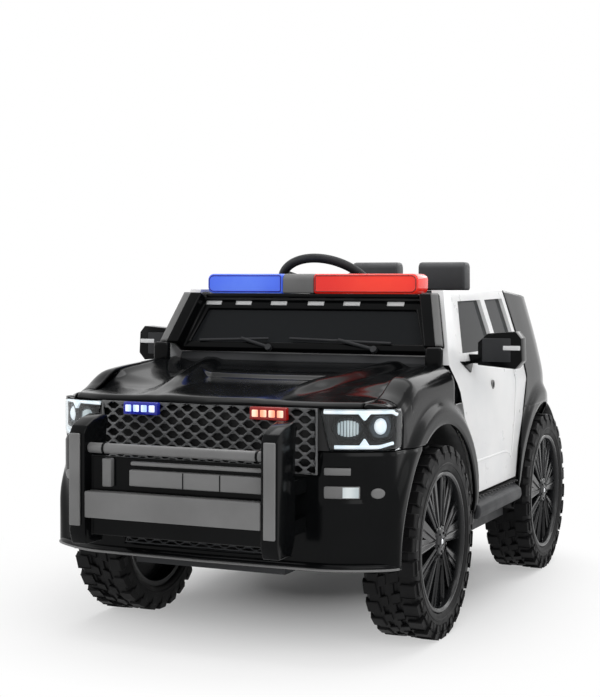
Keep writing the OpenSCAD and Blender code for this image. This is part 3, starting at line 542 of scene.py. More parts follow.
# bumper: columns and rows lie along the edges of its mouths and fog pockets
bumperShape = {
    "columns": ((0, 146, 24), (150, 190, 8), (198.5, 203.5, 1), (208, 256, 12), (261, 266, 1), (272, 286, 4),
                (287, 316, 26)),
    "rows": ((149, 167, 5), (172, 213, 10), (220, 246, 6), (252, 256.5, 1), (262, 294, 8), (299, 304, 2),
             (307.5, 312, 1), (317, 322, 1), (324, 330, 3)),
    "fixed": 286, "last": 316, "arch": 199.5, "flareFrom": (270, 40), "topRoll": (2.5, 322, 8),
    "upperMouth": (190, 294), "lowerMouth": (146, 167, 213), "mouthY": -480,
    "fogPocket": (198.5, 266, 252, 312), "fogDepth": 3.4, "wall": 8}


def bumperPoint(c, z):
    shape, fixed = bumperShape, bumperShape["fixed"]
    side, s = (-1 if c < 0 else 1), abs(c)
    if s > fixed:
        s = mix(fixed, noseRunAt(-archAt(z, shape["arch"])), (s - fixed) / (shape["last"] - fixed))
    (start, run), (roll, rollZ, rollRun) = shape["flareFrom"], shape["topRoll"]
    out = flareAt(smoothRow(noseD, s), z, shape["arch"], fenderShape) * ease((s - start) / run)
    out -= roll * ease((z - rollZ) / rollRun)
    s0, s1, z0, z1 = shape["fogPocket"]
    if s0 < s < s1 and z0 < z < z1:
        out -= shape["fogDepth"]
    return nosePoint(side * s, out, z)


def inMouth(face):
    x, y, z = face.calc_center_median() / mm
    (upperHalf, upperLow), (lowerHalf, low, top) = bumperShape["upperMouth"], bumperShape["lowerMouth"]
    inUpper, inLower = abs(x) < upperHalf and z > upperLow, abs(x) < lowerHalf and low < z < top
    return y < bumperShape["mouthY"] and (inUpper or inLower)


halfColumns = inRuns(*bumperShape["columns"])
bm = bmesh.new()
addSheet(bm, [-c for c in reversed(halfColumns[1:])] + halfColumns, inRuns(*bumperShape["rows"]), bumperPoint, toFront)
bmesh.ops.delete(bm, geom=[f for f in bm.faces if inMouth(f)], context="FACES")
putPiece(bm, "bumperSkin", blackGloss, "black_gloss", 60, ["front_bumper"], bumperShape["wall"])

# lip under the bumper: distance out and height; a thin grey bead runs along its edge
lipShape = {"ring": [(0, 147), (5, 147), (8.6, 148.5), (9.4, 151), (9, 155), (6, 158.5), (0, 160)],
            "bead": (9.2, 150.5), "beadR": 1.9, "beadShort": 6}
lipEnd = noseRunAt(-bumperShape["arch"])
bm = bmesh.new()
addSheet(bm, evenly(-lipEnd, lipEnd, 120), lipShape["ring"], lambda s, edge: nosePoint(s, *edge), toFront)
putPiece(bm, "bumperLip", blackGloss, "black_gloss", 50, ["front_bumper"])
bm = bmesh.new()
beadEnd = lipEnd - lipShape["beadShort"]
addTube(bm, [nosePoint(s, *lipShape["bead"]) for s in evenly(-beadEnd, beadEnd, 110)], lipShape["beadR"], 8)
putPiece(bm, "bumperBead", satinGrey, "satin_grey", 60)
print("bumper made")

# rear quarters, in side view from the rear axle
quarterShape = {
    "side": [(140, 284), (214, 297), (330, 300), (398, 297), (452, 286), (578, 250)],
    "draw": [(-120, 0), (0, 4), (55, 12), (105, 30), (145, 56), (190, 90)],
    "doorEdge": [(150, -193), (212, -193), (270, -183), (340, -153), (405, -116), (470, -121), (576, -138)],
    "roof": [(-138, 576), (36, 564), (150, 556)], "tail": [(240.6, 184), (556, 150)],
    "flare": 8, "flareTo": 204, "fadeTo": 230, "flareEnd": (90, 70), "archFrom": -3.1, "tailFrom": 0.4499, "wall": 6,
    "liner": (201, 292, 24, 160), "linerGap": 3, "linerWall": 2.5}


def quarterSide(d, z):
    return smoothRow(quarterShape["side"], z) - smoothRow(quarterShape["draw"], d)


def quarterPoint(d, z):
    start, run = quarterShape["flareEnd"]
    flare = flareAt(d, z, car["rearArch"], quarterShape) * (1 - ease((d - start) / run))
    return at(quarterSide(d, z) + flare, car["rearY"] + d, z)


# the skin over the wheel arch: u from the door to the tail, v up to the roof's line
def quarterUpper(u, v):
    low, roof = car["axleZ"] + car["rearArch"], quarterShape["roof"]
    guess = mix(low, mix(roof[0][1], roof[-1][1], u), v)
    d = mix(lineRow(quarterShape["doorEdge"], guess), lineRow(quarterShape["tail"], guess), u)
    return quarterPoint(d, mix(low, lineRow(roof, d), v))


def rearQuarter(side):
    shape, arch = quarterShape, car["rearArch"]
    bm = bmesh.new()
    addSheet(bm, evenly(0, 1, 80), evenly(0, 1, 50), quarterUpper, toSide)
    addSheet(bm, evenly(0, 1, 40), archRise(arch, radians(shape["archFrom"]), 44),
             lambda u, z: quarterPoint(mix(lineRow(shape["doorEdge"], z), -archAt(z, arch), u), z), toSide)
    addSheet(bm, evenly(0, 1, 40), archRise(arch, shape["tailFrom"], 34),
             lambda u, z: quarterPoint(mix(archAt(z, arch), lineRow(shape["tail"], z), u), z), toSide)
    bmesh.ops.remove_doubles(bm, verts=bm.verts, dist=weld)
    faceOut(bm, facing=toSide)
    node = ["quarter_" + side.lower()]
    putSide(bm, side, "quarterSkin" + side, blackGloss, "black_gloss", 40, node, shape["wall"])
    bm = bmesh.new()
    addLiner(bm, car["rearY"], arch + shape["linerGap"], *shape["liner"])
    putSide(bm, side, "quarterLiner" + side, mattBlack, "black_gloss", 40, node, shape["linerWall"])


for side in sideSigns:
    rearQuarter(side)
print("quarters made")

# wheels, drawn at the front left and moved to the others: profiles are (radius, place across the car)
wheelShape = {
    "across": 530, "lugs": 26, "spokes": 7, "nuts": 5, "nut": (2.6, 2.2, 3.4), "nutAt": (16.5, 304.6),
    "tyre": [(117.8, 306), (121, 308.6), (126, 309.6), (127, 310.6), (130, 310.8), (131, 309.8), (139, 309.9),
             (146, 309), (152, 306), (156.8, 300), (156.8, 281), (153.8, 279.5), (153.8, 273.5), (156.8, 272)],
    "barrel": [(117.4, 305.6), (115.6, 307.6), (112.6, 307.8), (109.6, 305.5), (108.4, 301), (107.6, 262),
               (106.6, 240), (109, 227), (117.4, 226)],
    "disc": [(6.6, 258), (24, 258), (60, 255), (108, 252), (108, 249), (6.6, 249)],
    "hub": [(6.6, 306), (10, 306), (12, 304.6), (19, 304.2), (22, 303), (24, 300.5), (25.5, 292), (26.5, 256),
            (26.5, 206), (6.6, 206)],
    "cap": [(0.01, 306.8), (2.6, 306.4), (4.4, 305.2), (5.4, 303.4), (6.2, 302.6), (6.4, 297)],
    # blocks on the shoulder, the wall and the middle: inner edge, outer edge, radius and half width, each at foot
    # and crown; then skew, lean, turn in lugs and soft edge
    "blocks": (((285, 285), (310.6, 307.8), (147.5, 159.5), (13, 11.4), 2, 0, 0, 1.3),
               ((304, 304), (310.2, 310.9), (136, 150), (7.5, 9.4), 0, 0, 0, 1.0),
               ((268, 269.2), (283.5, 282.3), (148, 159), (9, 9), 0, 0.35, 0.5, 1.0)),
    # a spoke, and the raised rib on it that catches the light: back, front at hub and rim, radius at the hub and at
    # the rim's two corners, edges at hub and rim, how much narrower in front, soft edge and its steps
    "bars": ((256, (301.5, 297.5), 15, (111.5, 108), ((1.5, 16), (14, 45)), 1.6, 2.4, 3),
             (299, (303.2, 300), 26, (103, 103), ((8.94, 12.34), (26.76, 30.16)), 0.8, 0.6, 2))}


def aroundAxle(angle, radius, across, x):
    return at(x, car["frontY"] + radius * sin(angle) + across * cos(angle),
              car["axleZ"] + radius * cos(angle) - across * sin(angle))


def turnWheel(bm, profile, steps, closed=True):
    addTurned(bm, profile, car["frontY"], car["axleZ"], steps, closed)


# i runs across the car, j along the tread, h outwards
def makeTyre():
    shape, outer, across = wheelShape, wheelShape["tyre"], wheelShape["across"]
    bm = bmesh.new()
    turnWheel(bm, outer + [(r, across - x) for r, x in reversed(outer)], 104)
    for a in turns(shape["lugs"]):
        for inside in (False, True):
            for innerX, outerX, radius, half, skew, lean, turn, soft in shape["blocks"]:
                def corner(i, j, h):
                    end = int(h > 0)
                    x = outerX[end] if i > 0 else innerX[end] + (skew if j > 0 else 0)
                    along = j * half[end] + lean * (x - across / 2) * (-1 if inside else 1)
                    return aroundAxle(a + turn * 2 * pi / shape["lugs"], radius[end], along,
                                      across - x if inside else x)
                addBlock(bm, corner, soft, 1)
    faceOut(bm)
    return bm


# i runs out of the wheel, j across the spoke, h from the hub outwards
def makeRim():
    shape = wheelShape
    bm = bmesh.new()
    for profile, steps in (("barrel", 96), ("disc", 72), ("hub", 48)):
        turnWheel(bm, shape[profile], steps)
    for a in turns(shape["spokes"]):
        for side in (-1, 1):
            for back, front, hubR, rimR, edges, narrower, soft, steps in shape["bars"]:
                def corner(i, j, h):
                    far, edge = int(h > 0), int(j > 0)
                    across = edges[far][edge] - (j * narrower if i > 0 else 0)
                    return aroundAxle(a, rimR[edge] if far else hubR, side * across, front[far] if i > 0 else back)
                addBlock(bm, corner, soft, steps)
    wide, narrow, high = (size * mm for size in shape["nut"])
    radius, x = shape["nutAt"]
    for a in turns(shape["nuts"]):
        nut = bmesh.ops.create_cone(bm, cap_ends=True, segments=6, radius1=wide, radius2=narrow, depth=high)["verts"]
        bmesh.ops.rotate(bm, verts=nut, cent=(0, 0, 0), matrix=Matrix.Rotation(pi / 2, 3, "Y"))
        bmesh.ops.translate(bm, verts=nut, vec=aroundAxle(a + pi / shape["nuts"], radius, 0, x))
    faceOut(bm)
    return bm


# axle end: a chromed cap nut in the hub
def makeCap():
    bm = bmesh.new()
    turnWheel(bm, wheelShape["cap"], 32, False)
    bmesh.ops.remove_doubles(bm, verts=bm.verts, dist=weld)
    faceOut(bm)
    return bm


wheelParts = {"tyre": (makeTyre(), tyreBlack, "tyre"), "rim": (makeRim(), rimGlossPaintedSheen, "black_gloss"),
              "axleCap": (makeCap(), chrome, "steel")}
for axle, shift in (("front", 0), ("rear", car["rearY"] - car["frontY"])):
    for side in sideSigns:
        end = axle + "_" + side.lower()
        for part, (source, material, slot) in wheelParts.items():
            bm = source.copy()
            bmesh.ops.translate(bm, verts=bm.verts, vec=at(0, shift, 0))
            node = part + "_" + end
            putSide(bm, side, part + "Wheel_" + end, material, slot, 32, [node] if node in frame["nodes"] else (),
                    body="wheel_" + end)
for source, material, slot in wheelParts.values():
    source.free()
print("wheels made")

# headlamps on the corner of the nose: runs along the nose and heights, in millimetres
lampShape = {
    "inner": (191, 207), "outer": 331, "low": 331.5, "top": 395.5, "depth": 20, "edge": 190.3,
    # middle, half width and height, and how far from a circle to a hexagon
    "innerLamp": (236, 365, 20, 15, 0.75), "outerLamp": (288, 368, 19, 17, 0.55),
    # share of the lamp's size, and place outwards
    "lampBezels": ((1.42, -18), (1.34, -7), (1.22, -4.6), (1.08, -5.2), (1, -9), (0.96, -16)),
    "lampReflectors": ((0.99, -9.5), (0.8, -14), (0.5, -17), (0.2, -18)),
    "hexagon": (0.98, 0.42), "cover": (0.2, 2.2, 6), "coverGap": (0.5, 0.4), "coverWall": 1.2,
    "ribs": 3, "ribPitch": 4.9, "ribOut": -11.5, "ribR": 2.1, "ribEnds": (12.5, 0.4, 3.6), "bulb": (10.5, 12.5, -13, 7),
    # running lights: from, to, height, bend at the outer end and the step where it starts
    "bars": ((198, 322, 390, -4, 17), (215, 308, 337.5, 5, 14)), "barSteps": 20, "barOut": -4.6, "bar": (2.7, 2),
    # points on the bars: heights and half widths at base and tip, places outwards at back and front
    "notches": ((387.5, 379), (339.5, 350)), "notchHalf": (8.5, 1.2), "notchOut": (-6.5, -3), "notchRun": 261}


def lampInner(z):
    low, top = lampShape["low"], lampShape["top"]
    return mix(lampShape["inner"][1], lampShape["inner"][0], (z - low) / (top - low))


# points round a lamp's opening, between a circle and a hexagon with soft corners
def lampRing(lamp, share):
    s, z, w, h, corners = lampShape[lamp]
    level, steep = lampShape["hexagon"]
    points = []
    for a in turns(48):
        hexagon = 1 / max(abs(cos(a)) * level + abs(sin(a)) * steep, abs(sin(a)))
        r = mix(1, hexagon, corners) * share
        points.append((s + w * r * cos(a), z + h * r * sin(a)))
    return points


def ovalRing(s, z, w, h, count):
    return [(s + w * cos(t), z + h * sin(t)) for t in turns(count)]


# rings of the same count on the nose, joined in order, each at its own depth
def addRings(bm, side, rings, closeLast=False):
    loops = [addLoop(bm, [nosePoint(side * s, out, z) for s, z in points]) for points, out in rings]
    joinLoops(bm, loops, loops[-1:] if closeLast else ())


def makeLamp(side, name):
    shape = lampShape
    low, top, deep, outer = (shape[k] for k in ("low", "top", "depth", "outer"))
    # bowl behind everything, with its walls
    bm = bmesh.new()
    walls = [(-1.2, low), (-deep, low + 3), (-deep, top - 3), (-1.2, top)]
    addSheet(bm, evenly(0, 1, 40), walls,
             lambda u, wall: nosePoint(side * mix(lampInner(wall[1]), outer, u), *wall), toFront)
    addSheet(bm, evenly(0, 1, 8), evenly(low, top, 8),
             lambda u, z: nosePoint(side * mix(shape["edge"], lampInner(z), u), -0.6, z), toFront)
    addSheet(bm, evenly(-0.6, -deep, 4), evenly(low, top, 8),
             lambda o, z: nosePoint(side * lampInner(z), o, z), (side, 0, 0))
    putPiece(bm, "lampBowl" + name, mattBlack, "lamp_body", 40, ["headlamps"])
    # bezels and reflector cups: a hexagon inside, a rounder one outside
    for part, material, smooth, replaced, closed in (("lampBezels", blackGloss, 50, ["headlamps"], False),
                                                     ("lampReflectors", darkChrome, 60, (), True)):
        bm = bmesh.new()
        for lamp in ("innerLamp", "outerLamp"):
            addRings(bm, side, [(lampRing(lamp, share), out) for share, out in shape[part]], closed)
        faceOut(bm)
        putPiece(bm, part + name, material, "lamp_body", smooth, replaced)
    # ribs of the inner lamp, shorter towards its ends
    bm = bmesh.new()
    s, z = shape["innerLamp"][:2]
    longest, shorter, spread = shape["ribEnds"]
    for k in range(-shape["ribs"], shape["ribs"] + 1):
        reach = longest * (1 - shorter * (abs(k) / spread) ** 2)
        addTube(bm, [nosePoint(side * (s + k * shape["ribPitch"]), shape["ribOut"], z + t * reach)
                     for t in (-1, -0.6, 0, 0.6, 1)], shape["ribR"], 8)
    faceOut(bm)
    putPiece(bm, "lampRibs" + name, frostedRibAndGlint, "lamp_lens", 60)
    # the outer lamp's bright round lens
    bm = bmesh.new()
    s, z = shape["outerLamp"][:2]
    w, h, base, crown = shape["bulb"]
    addRings(bm, side, [(ovalRing(s, z, w * cos(a), h * cos(a), 36), base + crown * sin(a))
                        for a in evenly(0, 1.45, 6)], True)
    faceOut(bm)
    putPiece(bm, "lampBulbs" + name, whiteLed, "lamp_lens", 60)
    # running lights: a bar over and one under, each with a point towards the other
    bm = bmesh.new()
    steps, (half, thick) = shape["barSteps"], shape["bar"]
    for s0, s1, z, bend, start in shape["bars"]:
        addTube(bm, [nosePoint(side * mix(s0, s1, t / steps), shape["barOut"],
                               z + bend * ease((t - start) / (steps - start))) for t in range(steps + 1)],
                half, 8, thick / half)
    for heights in shape["notches"]:
        def notch(i, j, h):
            tip = int(h > 0)
            return nosePoint(side * (shape["notchRun"] + j * shape["notchHalf"][tip]), shape["notchOut"][int(i > 0)],
                             heights[tip])
        addBlock(bm, notch, 0.8, 2)
    faceOut(bm)
    putPiece(bm, "lampRunningBars" + name, whiteLed, "lamp_lens", 60)
    # clear cover, drawn in along its upper and lower edges
    bm = bmesh.new()
    (out, drawn, power), (endGap, edgeGap) = shape["cover"], shape["coverGap"]
    addSheet(bm, evenly(0, 1, 48), evenly(low + edgeGap, top - edgeGap, 14),
             lambda u, z: nosePoint(side * mix(lampInner(z) + endGap, outer, u),
                                    out - drawn * (abs(2 * z - low - top) / (top - low)) ** power, z), toFront)
    putPiece(bm, "lampCover" + name, lampClear, "lamp_lens", 60, ["headlamp_lenses"], shape["coverWall"])


for name, side in sideSigns.items():
    makeLamp(side, name)
print("headlamps made")

# nose trim, in millimetres; the shade sheets are half width, low, top and place
noseTrim = {"shadeSheets": ((188, 296, 396, -503), (144, 168.5, 211.5, -505.5)),
            "diodeX": 112, "diodePitch": 14.2, "diode": (5.2, 5.5), "diodeZ": 386, "diodeY": (-526.2, -523.5),
            "ringX": (-122, 139), "ringAt": (-615, 331), "jointX": (18, 80), "jointY": (-623.5, -620),
            "jointZ": (276.5, 300.5), "reflector": (281, 267, 10, 8),
            "cornerOvalRings": ((1, -1), (1, 0.9), (0.92, 1.7), (0.7, 2.4), (0.35, 2.8))}

# painted shade: dark sheets behind the grille bars, so that the holes read as the shade of the cavity behind them
bm = bmesh.new()
for half, low, top, y in noseTrim["shadeSheets"]:
    addSheet(bm, evenly(-half, half, 8), evenly(low, top, 4), lambda x, z: at(x, y, z), toFront)
putPiece(bm, "grilleShadeSheet", mattBlack, "black_gloss", 40, (), 0.8)

# grille nets: flattened six-sided holes in staggered rows between thin bars; the lower net is drawn in the darker trim
# grey as painted shade, for the shade it sits in
netShape = {"pitch": (27, 11), "columns": 8, "rows": 6, "stagger": 0.25, "past": (9, 6), "border": 2.6, "deep": 5,
            "hole": ((11.6, 0), (4.2, 6.2), (-4.2, 6.2), (-11.6, 0), (-4.2, -6.2), (4.2, -6.2)),
            "tile": ((13.5, 0), (0.02, 11), (-0.02, 11), (-13.5, 0), (-0.02, -11), (0.02, -11)),
            "nets": {"Upper": (189.5, 294.5, 396, -513, grilleGrey), "Lower": (145.5, 167.5, 212.5, -514, greyTrim)}}


def addNet(bm, half, low, top, y):
    (across, up), (pastSide, pastEdge), stagger = netShape["pitch"], netShape["past"], netShape["stagger"]
    for r in range(-netShape["rows"], netShape["rows"] + 1):
        for c in range(-netShape["columns"], netShape["columns"] + 1):
            x, z = (c + (stagger if r % 2 else -stagger)) * across, (low + top) / 2 + r * up
            if abs(x) > half + pastSide or not low - pastEdge < z < top + pastEdge:
                continue
            edges = []
            for loop, border in (("hole", netShape["border"]), ("tile", 0)):
                edges += addLoop(bm, [at(held(border - half, x + a, half - border), y,
                                         held(low + border, z + b, top - border)) for a, b in netShape[loop]])
            bmesh.ops.bridge_loops(bm, edges=edges)
    bmesh.ops.remove_doubles(bm, verts=bm.verts, dist=1e-4)
    bmesh.ops.dissolve_degenerate(bm, edges=bm.edges, dist=1e-5)
    faceOut(bm, facing=toFront)


for name, (half, low, top, y, material) in netShape["nets"].items():
    bm = bmesh.new()
    addNet(bm, half, low, top, y)
    putPiece(bm, "grille" + name, material, "black_gloss", 40, ["grille"], netShape["deep"])

# four lit diodes in each flasher
for node, side, led in (("strobe_blue", "Right", blueLed), ("strobe_red", "Left", redLed)):
    bm = bmesh.new()
    (w, h), (front, back), z = noseTrim["diode"], noseTrim["diodeY"], noseTrim["diodeZ"]
    for k in range(4):
        x = noseTrim["diodeX"] + (k - 1.5) * noseTrim["diodePitch"]
        addBox(bm, (x - w, front, z - h), (x + w, back, z + h), 1.8, 3)
    putSide(bm, side, "diodes_" + node, led, slotOf[node], 50)

# black rings on the round bar, and the joints of the flat bar under it
bm = bmesh.new()
for x in noseTrim["ringX"]:
    addTurned(bm, [(7.6, x - 2), (9, x - 1.6), (9, x + 1.6), (7.6, x + 2)], *noseTrim["ringAt"], 40)
(front, back), (low, top) = noseTrim["jointY"], noseTrim["jointZ"]
for x in noseTrim["jointX"]:
    addBox(bm, (x - 1, front, low), (x + 1, back, top), 0.3, 1)
faceOut(bm)
putPiece(bm, "bullBarRings", blackGloss, "black_gloss", 40)

# fog bars in their pockets: run, height, half height; the lower one ends in a painted highlight, a pale glowing strip
# over its outer end
fogRows = {"bars": ((200, 254, 268, 9.4), (200, 240, 300, 5.8)), "barOut": -2.4, "barThick": 2.6,
           "end": (228, 252, 268, 8.2), "endOut": -0.9, "endThick": 1.6}
bm = bmesh.new()
for side in (1, -1):
    for s0, s1, z, half in fogRows["bars"]:
        runs = inRuns((s0, s0 + 1, 1), (s0 + 3, s1 - 3, 16), (s1 - 1, s1, 1))
        addTube(bm, [nosePoint(side * s, fogRows["barOut"], z) for s in runs], half, 20, fogRows["barThick"] / half)
putPiece(bm, "fogBars", satinGrey, "satin_grey", 50, ["fog_bars"])
# painted highlight: a pale strip that glows, laid over the outer end of each lower fog bar
bm = bmesh.new()
s0, s1, z, half = fogRows["end"]
for side in (1, -1):
    addTube(bm, [nosePoint(side * s, fogRows["endOut"], z) for s in evenly(s0, s1, 12)], half, 20,
            fogRows["endThick"] / half)
putPiece(bm, "fogBarPaintedGlints", frostedRibAndGlint, "lamp_lens", 50)

# a small pale-grey oval dome on each corner, placed by the nose trim's reflector entry
bm = bmesh.new()
s, z, w, h = noseTrim["reflector"]
for side in (1, -1):
    addRings(bm, side, [(ovalRing(s, z, w * f, h * f, 32), out) for f, out in noseTrim["cornerOvalRings"]], True)
faceOut(bm)
putPiece(bm, "cornerOvals", satinGrey, "satin_grey", 50)

# light bar lenses: rounded most at their outer ends, with a darker rim round the front
lightBar = {"y": (-105.7, -45.7), "z": (569.1, 605), "edge": 4, "blue": (-208, -54.3, 11, 5), "red": (8.3, 208, 5, 11),
            "rimIn": 3.4, "rimTighter": 2, "rimBack": 0.4, "rimR": 1.3}


# a lens in front view, drawn in from its edge, with its own radius at each end
def lensOutline(colour, inset, tighter):
    x0, x1, r0, r1 = lightBar[colour]
    x0, x1, r0, r1 = x0 + inset, x1 - inset, r0 - tighter, r1 - tighter
    z0, z1 = lightBar["z"][0] + inset, lightBar["z"][1] - inset
    corners = ((x1 - r1, z1 - r1, r1), (x0 + r0, z1 - r0, r0), (x0 + r0, z0 + r0, r0), (x1 - r1, z0 + r1, r1))
    return [(x + r * cos(a), z + r * sin(a)) for k, (x, z, r) in enumerate(corners)
            for a in evenly(k * pi / 2, (k + 1) * pi / 2, 8)]


for colour, tint, rim in (("blue", lensBlue, lensBlueRim), ("red", lensRed, lensRedRim)):
    (front, back), edge = lightBar["y"], lightBar["edge"]
    steps = [(edge * (1 - sin(a)), edge * (1 - cos(a))) for a in evenly(0, pi / 2, 4)]
    bm = bmesh.new()
    loops = [addLoop(bm, [at(x, y, z) for x, z in lensOutline(colour, i, i / 2)])
             for i, y in [(i, front + d) for i, d in steps] + [(i, back - d) for i, d in reversed(steps)]]
    joinLoops(bm, loops, (loops[0], loops[-1]))
    faceOut(bm)
    putPiece(bm, "lens_" + colour, tint, "lens_" + colour, 45, ["lightbar_" + colour])
    bm = bmesh.new()
    line = lensOutline(colour, lightBar["rimIn"], lightBar["rimTighter"])
    addTube(bm, [at(x, front + lightBar["rimBack"], z) for x, z in line + line[:1]], lightBar["rimR"], 8, up=toBack)
    putPiece(bm, "lensRim_" + colour, rim, "lens_" + colour, 50)
print("nose and light bar trim made")

# windscreen: leaned back from its foot; half widths at foot and head, then its trim
screenShape = {
    "y": -139, "z": 464, "lean": 28, "length": 105, "foot": 252, "head": 226,
    "strip": (10, 24), "stripRun": (1.5, 103.5), "stripOut": 32.7, "stripCrown": 0.0125, "stripWall": 1.4,
    "feet": ((249, -188, 436), (279, -171, 479)), "shadePad": ((-225, -103, 556), (225, -90, 563)),
    "shadePadEnds": ((209, -102, 556), (226, -88, 571)),
    # ends of each blade and of its arm, the last at the pivot
    "wipers": ((((-206, 15), (-66, 20)), ((-120, 19), (-62, 2))), (((-24, 21), (172, 15)), ((72, 19), (142, 2)))),
    "bladeOut": 10.5, "blade": (2.6, 8, 0.7), "armOut": 12.5, "arm": (3.2, 8, 0.6), "pivotOut": (7, 13, 15),
    "dashes": (-196, -134, -62, 12, 82, 166), "dash": (16, 90, 98), "dashOut": 8.9, "dashWall": 0.9}


# a point of the windscreen: across, up along it, out from it
def screenPoint(x, t, out):
    lean = radians(screenShape["lean"])
    return at(x, screenShape["y"] + t * sin(lean) - out * cos(lean),
              screenShape["z"] + t * cos(lean) + out * sin(lean))


def screenLine(ends, out, count):
    (x0, t0), (x1, t1) = ends
    return [screenPoint(mix(x0, x1, u), mix(t0, t1, u), out) for u in evenly(0, 1, count)]


# grey trim strip down the outer face of each pillar, crowned across
def pillarStrip(side, c, t):
    edge = mix(screenShape["foot"], screenShape["head"], t / screenShape["length"])
    middle = sum(screenShape["strip"]) / 2
    return screenPoint(side * (edge + c), t, screenShape["stripOut"] - screenShape["stripCrown"] * (c - middle) ** 2)


for name, side in sideSigns.items():
    bm = bmesh.new()
    addSheet(bm, evenly(*screenShape["strip"], 4), evenly(*screenShape["stripRun"], 24),
             lambda c, t: pillarStrip(side, c, t), toSky)
    putPiece(bm, "pillarStrip" + name, satinGrey, "satin_grey", 50, (), screenShape["stripWall"])

# feet of the pillars, down to the fenders
bm = bmesh.new()
addBoxPair(bm, *screenShape["feet"], 6, 4)
putPiece(bm, "pillarFeet", blackGloss, "black_gloss", 45)

# painted shade: a dark pad under the light bar's overhang, so that the gap under it reads solid black; raised at the
# ends beside it
bm = bmesh.new()
addBox(bm, *screenShape["shadePad"], 2, 3)
addBoxPair(bm, *screenShape["shadePadEnds"], 5, 4)
putPiece(bm, "screenShadePad", mattBlack, "black_gloss", 45)

# wipers: blade, arm and pivot
bm = bmesh.new()
for blade, arm in screenShape["wipers"]:
    addTube(bm, screenLine(blade, screenShape["bladeOut"], 8), *screenShape["blade"])
    addTube(bm, screenLine(arm, screenShape["armOut"], 4), *screenShape["arm"])
    addTube(bm, [screenPoint(*arm[1], out) for out in screenShape["pivotOut"]], 6, 16, up=toSide)
putPiece(bm, "wipers", greyTrim, "grey_trim", 45)

# plain white dashes along the top of the windscreen
bm = bmesh.new()
half, low, top = screenShape["dash"]
for x in screenShape["dashes"]:
    addSheet(bm, evenly(x - half, x + half, 6), evenly(low, top, 3),
             lambda a, t: screenPoint(a, t, screenShape["dashOut"]), toSky)
putPiece(bm, "screenDashes", whiteGloss, "white_gloss", 50, (), screenShape["dashWall"])
print("windscreen trim made")

# doors: places on their skin, y and z; the mirror's panels by their corners
doorShape = {
    "lock": (68, 402), "lockRing": [(6.2, -1), (6.2, 1.6), (8, 1.6), (8.6, 0.8), (8.6, -1)],
    "lockBarrel": [(0.05, 1.1), (4.5, 1.1), (6.1, 0.7), (6.1, -1)], "lockBar": ((0.6, -0.7, -3.4), (1.5, 0.7, 3.4)),
    "crease": [(-62, 270), (40, 270), (148, 270), (180, 264), (200, 252)],
    "band": [(218, 455), (230, 430), (231, 405), (218, 360), (205, 310), (196, 262)], "line": (2.4, 10, 0.5),
    "sail": [(-106, 452), (-30, 450), (-58, 430)], "sailOut": 3.2, "sailDeep": 3.6,
    "mirrorPanel": ((312, -57.2, 450), (364, -54.2, 492), 3), "mirrorWhiteStrip": ((350, -58, 471), (381, -53.2, 479), 1.4),
    "mirrorGlass": ((313, -23, 449), (373, -20.4, 495), 2.4)}


def doorPoint(y, z, out):
    return at(lineRow(quarterShape["side"], z) + out, y, z)


def alongDoor(points, count):
    rows = []
    for (y0, z0), (y1, z1) in zip(points, points[1:]):
        rows += [doorPoint(mix(y0, y1, u), mix(z0, z1, u), 0.1) for u in evenly(0, 1, count)[:-1]]
    return rows + [doorPoint(*points[-1], 0.1)]


def dressDoor(side):
    end = "_" + side.lower()

    def put(bm, name, material, slot):
        faceOut(bm)
        putSide(bm, side, name + end, material, slot, 45, body="door" + end)

    # pressed lines of the skin
    bm = bmesh.new()
    addTube(bm, alongDoor(doorShape["crease"], 8), *doorShape["line"])
    addTube(bm, alongDoor(doorShape["band"], 6), *doorShape["line"], toBack)
    put(bm, "doorLines", whiteGloss, "white_gloss")
    # key lock: a ring, and its barrel with a raised bar across
    y, z = doorShape["lock"]
    x = lineRow(quarterShape["side"], z)
    bm = bmesh.new()
    addTurned(bm, [(r, x + out) for r, out in doorShape["lockRing"]], y, z, 32)
    put(bm, "lockRing", satinGrey, "satin_grey")
    bm = bmesh.new()
    addTurned(bm, [(r, x + out) for r, out in doorShape["lockBarrel"]], y, z, 32)
    bmesh.ops.remove_doubles(bm, verts=bm.verts, dist=1e-4)
    addBox(bm, *((x + a, y + b, z + c) for a, b, c in doorShape["lockBar"]), 0.2, 1)
    put(bm, "lockBarrel", mattBlack, "black_gloss")
    # sail under the mirror's arm
    bm = bmesh.new()
    corners = [bm.verts.new(doorPoint(*p, doorShape["sailOut"])) for p in doorShape["sail"]]
    face = bmesh.ops.contextual_create(bm, geom=corners)["faces"]
    raised = bmesh.ops.extrude_face_region(bm, geom=face)["geom"]
    bmesh.ops.translate(bm, verts=[v for v in raised if isinstance(v, bmesh.types.BMVert)],
                        vec=at(-doorShape["sailDeep"], 0, 0))
    roundEdges(bm, 1.2, 2)
    put(bm, "mirrorSail", blackGloss, "black_gloss")
    # mirror: grey front panel, a white strip on its outer end, glass behind
    for name, material, slot in (("mirrorPanel", greyTrim, "grey_trim"), ("mirrorWhiteStrip", whiteGloss, "white_gloss"),
                                 ("mirrorGlass", chrome, "steel")):
        bm = bmesh.new()
        addBox(bm, *doorShape[name], 3)
        put(bm, name, material, slot)


for side in sideSigns:
    dressDoor(side)

# tail: a handle, a blank plate in its frame, reflectors on the bumper
# panels are half width, low, top, how far out, how deep and how soft at the edges
tailShape = {"foot": (612, 240), "head": (578, 556), "plate": (84, 292, 338, 2.6, 2, 1),
             "frame": (90, 286, 344, 1.6, 3, 1.2), "handle": (48, 362, 380, 9, 10, 3.5),
             "reflector": ((178, 633, 206), (226, 636.2, 222))}


# a panel on the tailgate's slope
def addPanel(bm, part):
    half, low, top, out, deep, soft = tailShape[part]
    (y0, z0), (y1, z1) = tailShape["foot"], tailShape["head"]

    def corner(i, j, h):
        z = low if h < 0 else top
        return at(i * half, mix(y0, y1, (z - z0) / (z1 - z0)) + (out if j > 0 else out - deep), z)
    addBlock(bm, corner, soft, 3)


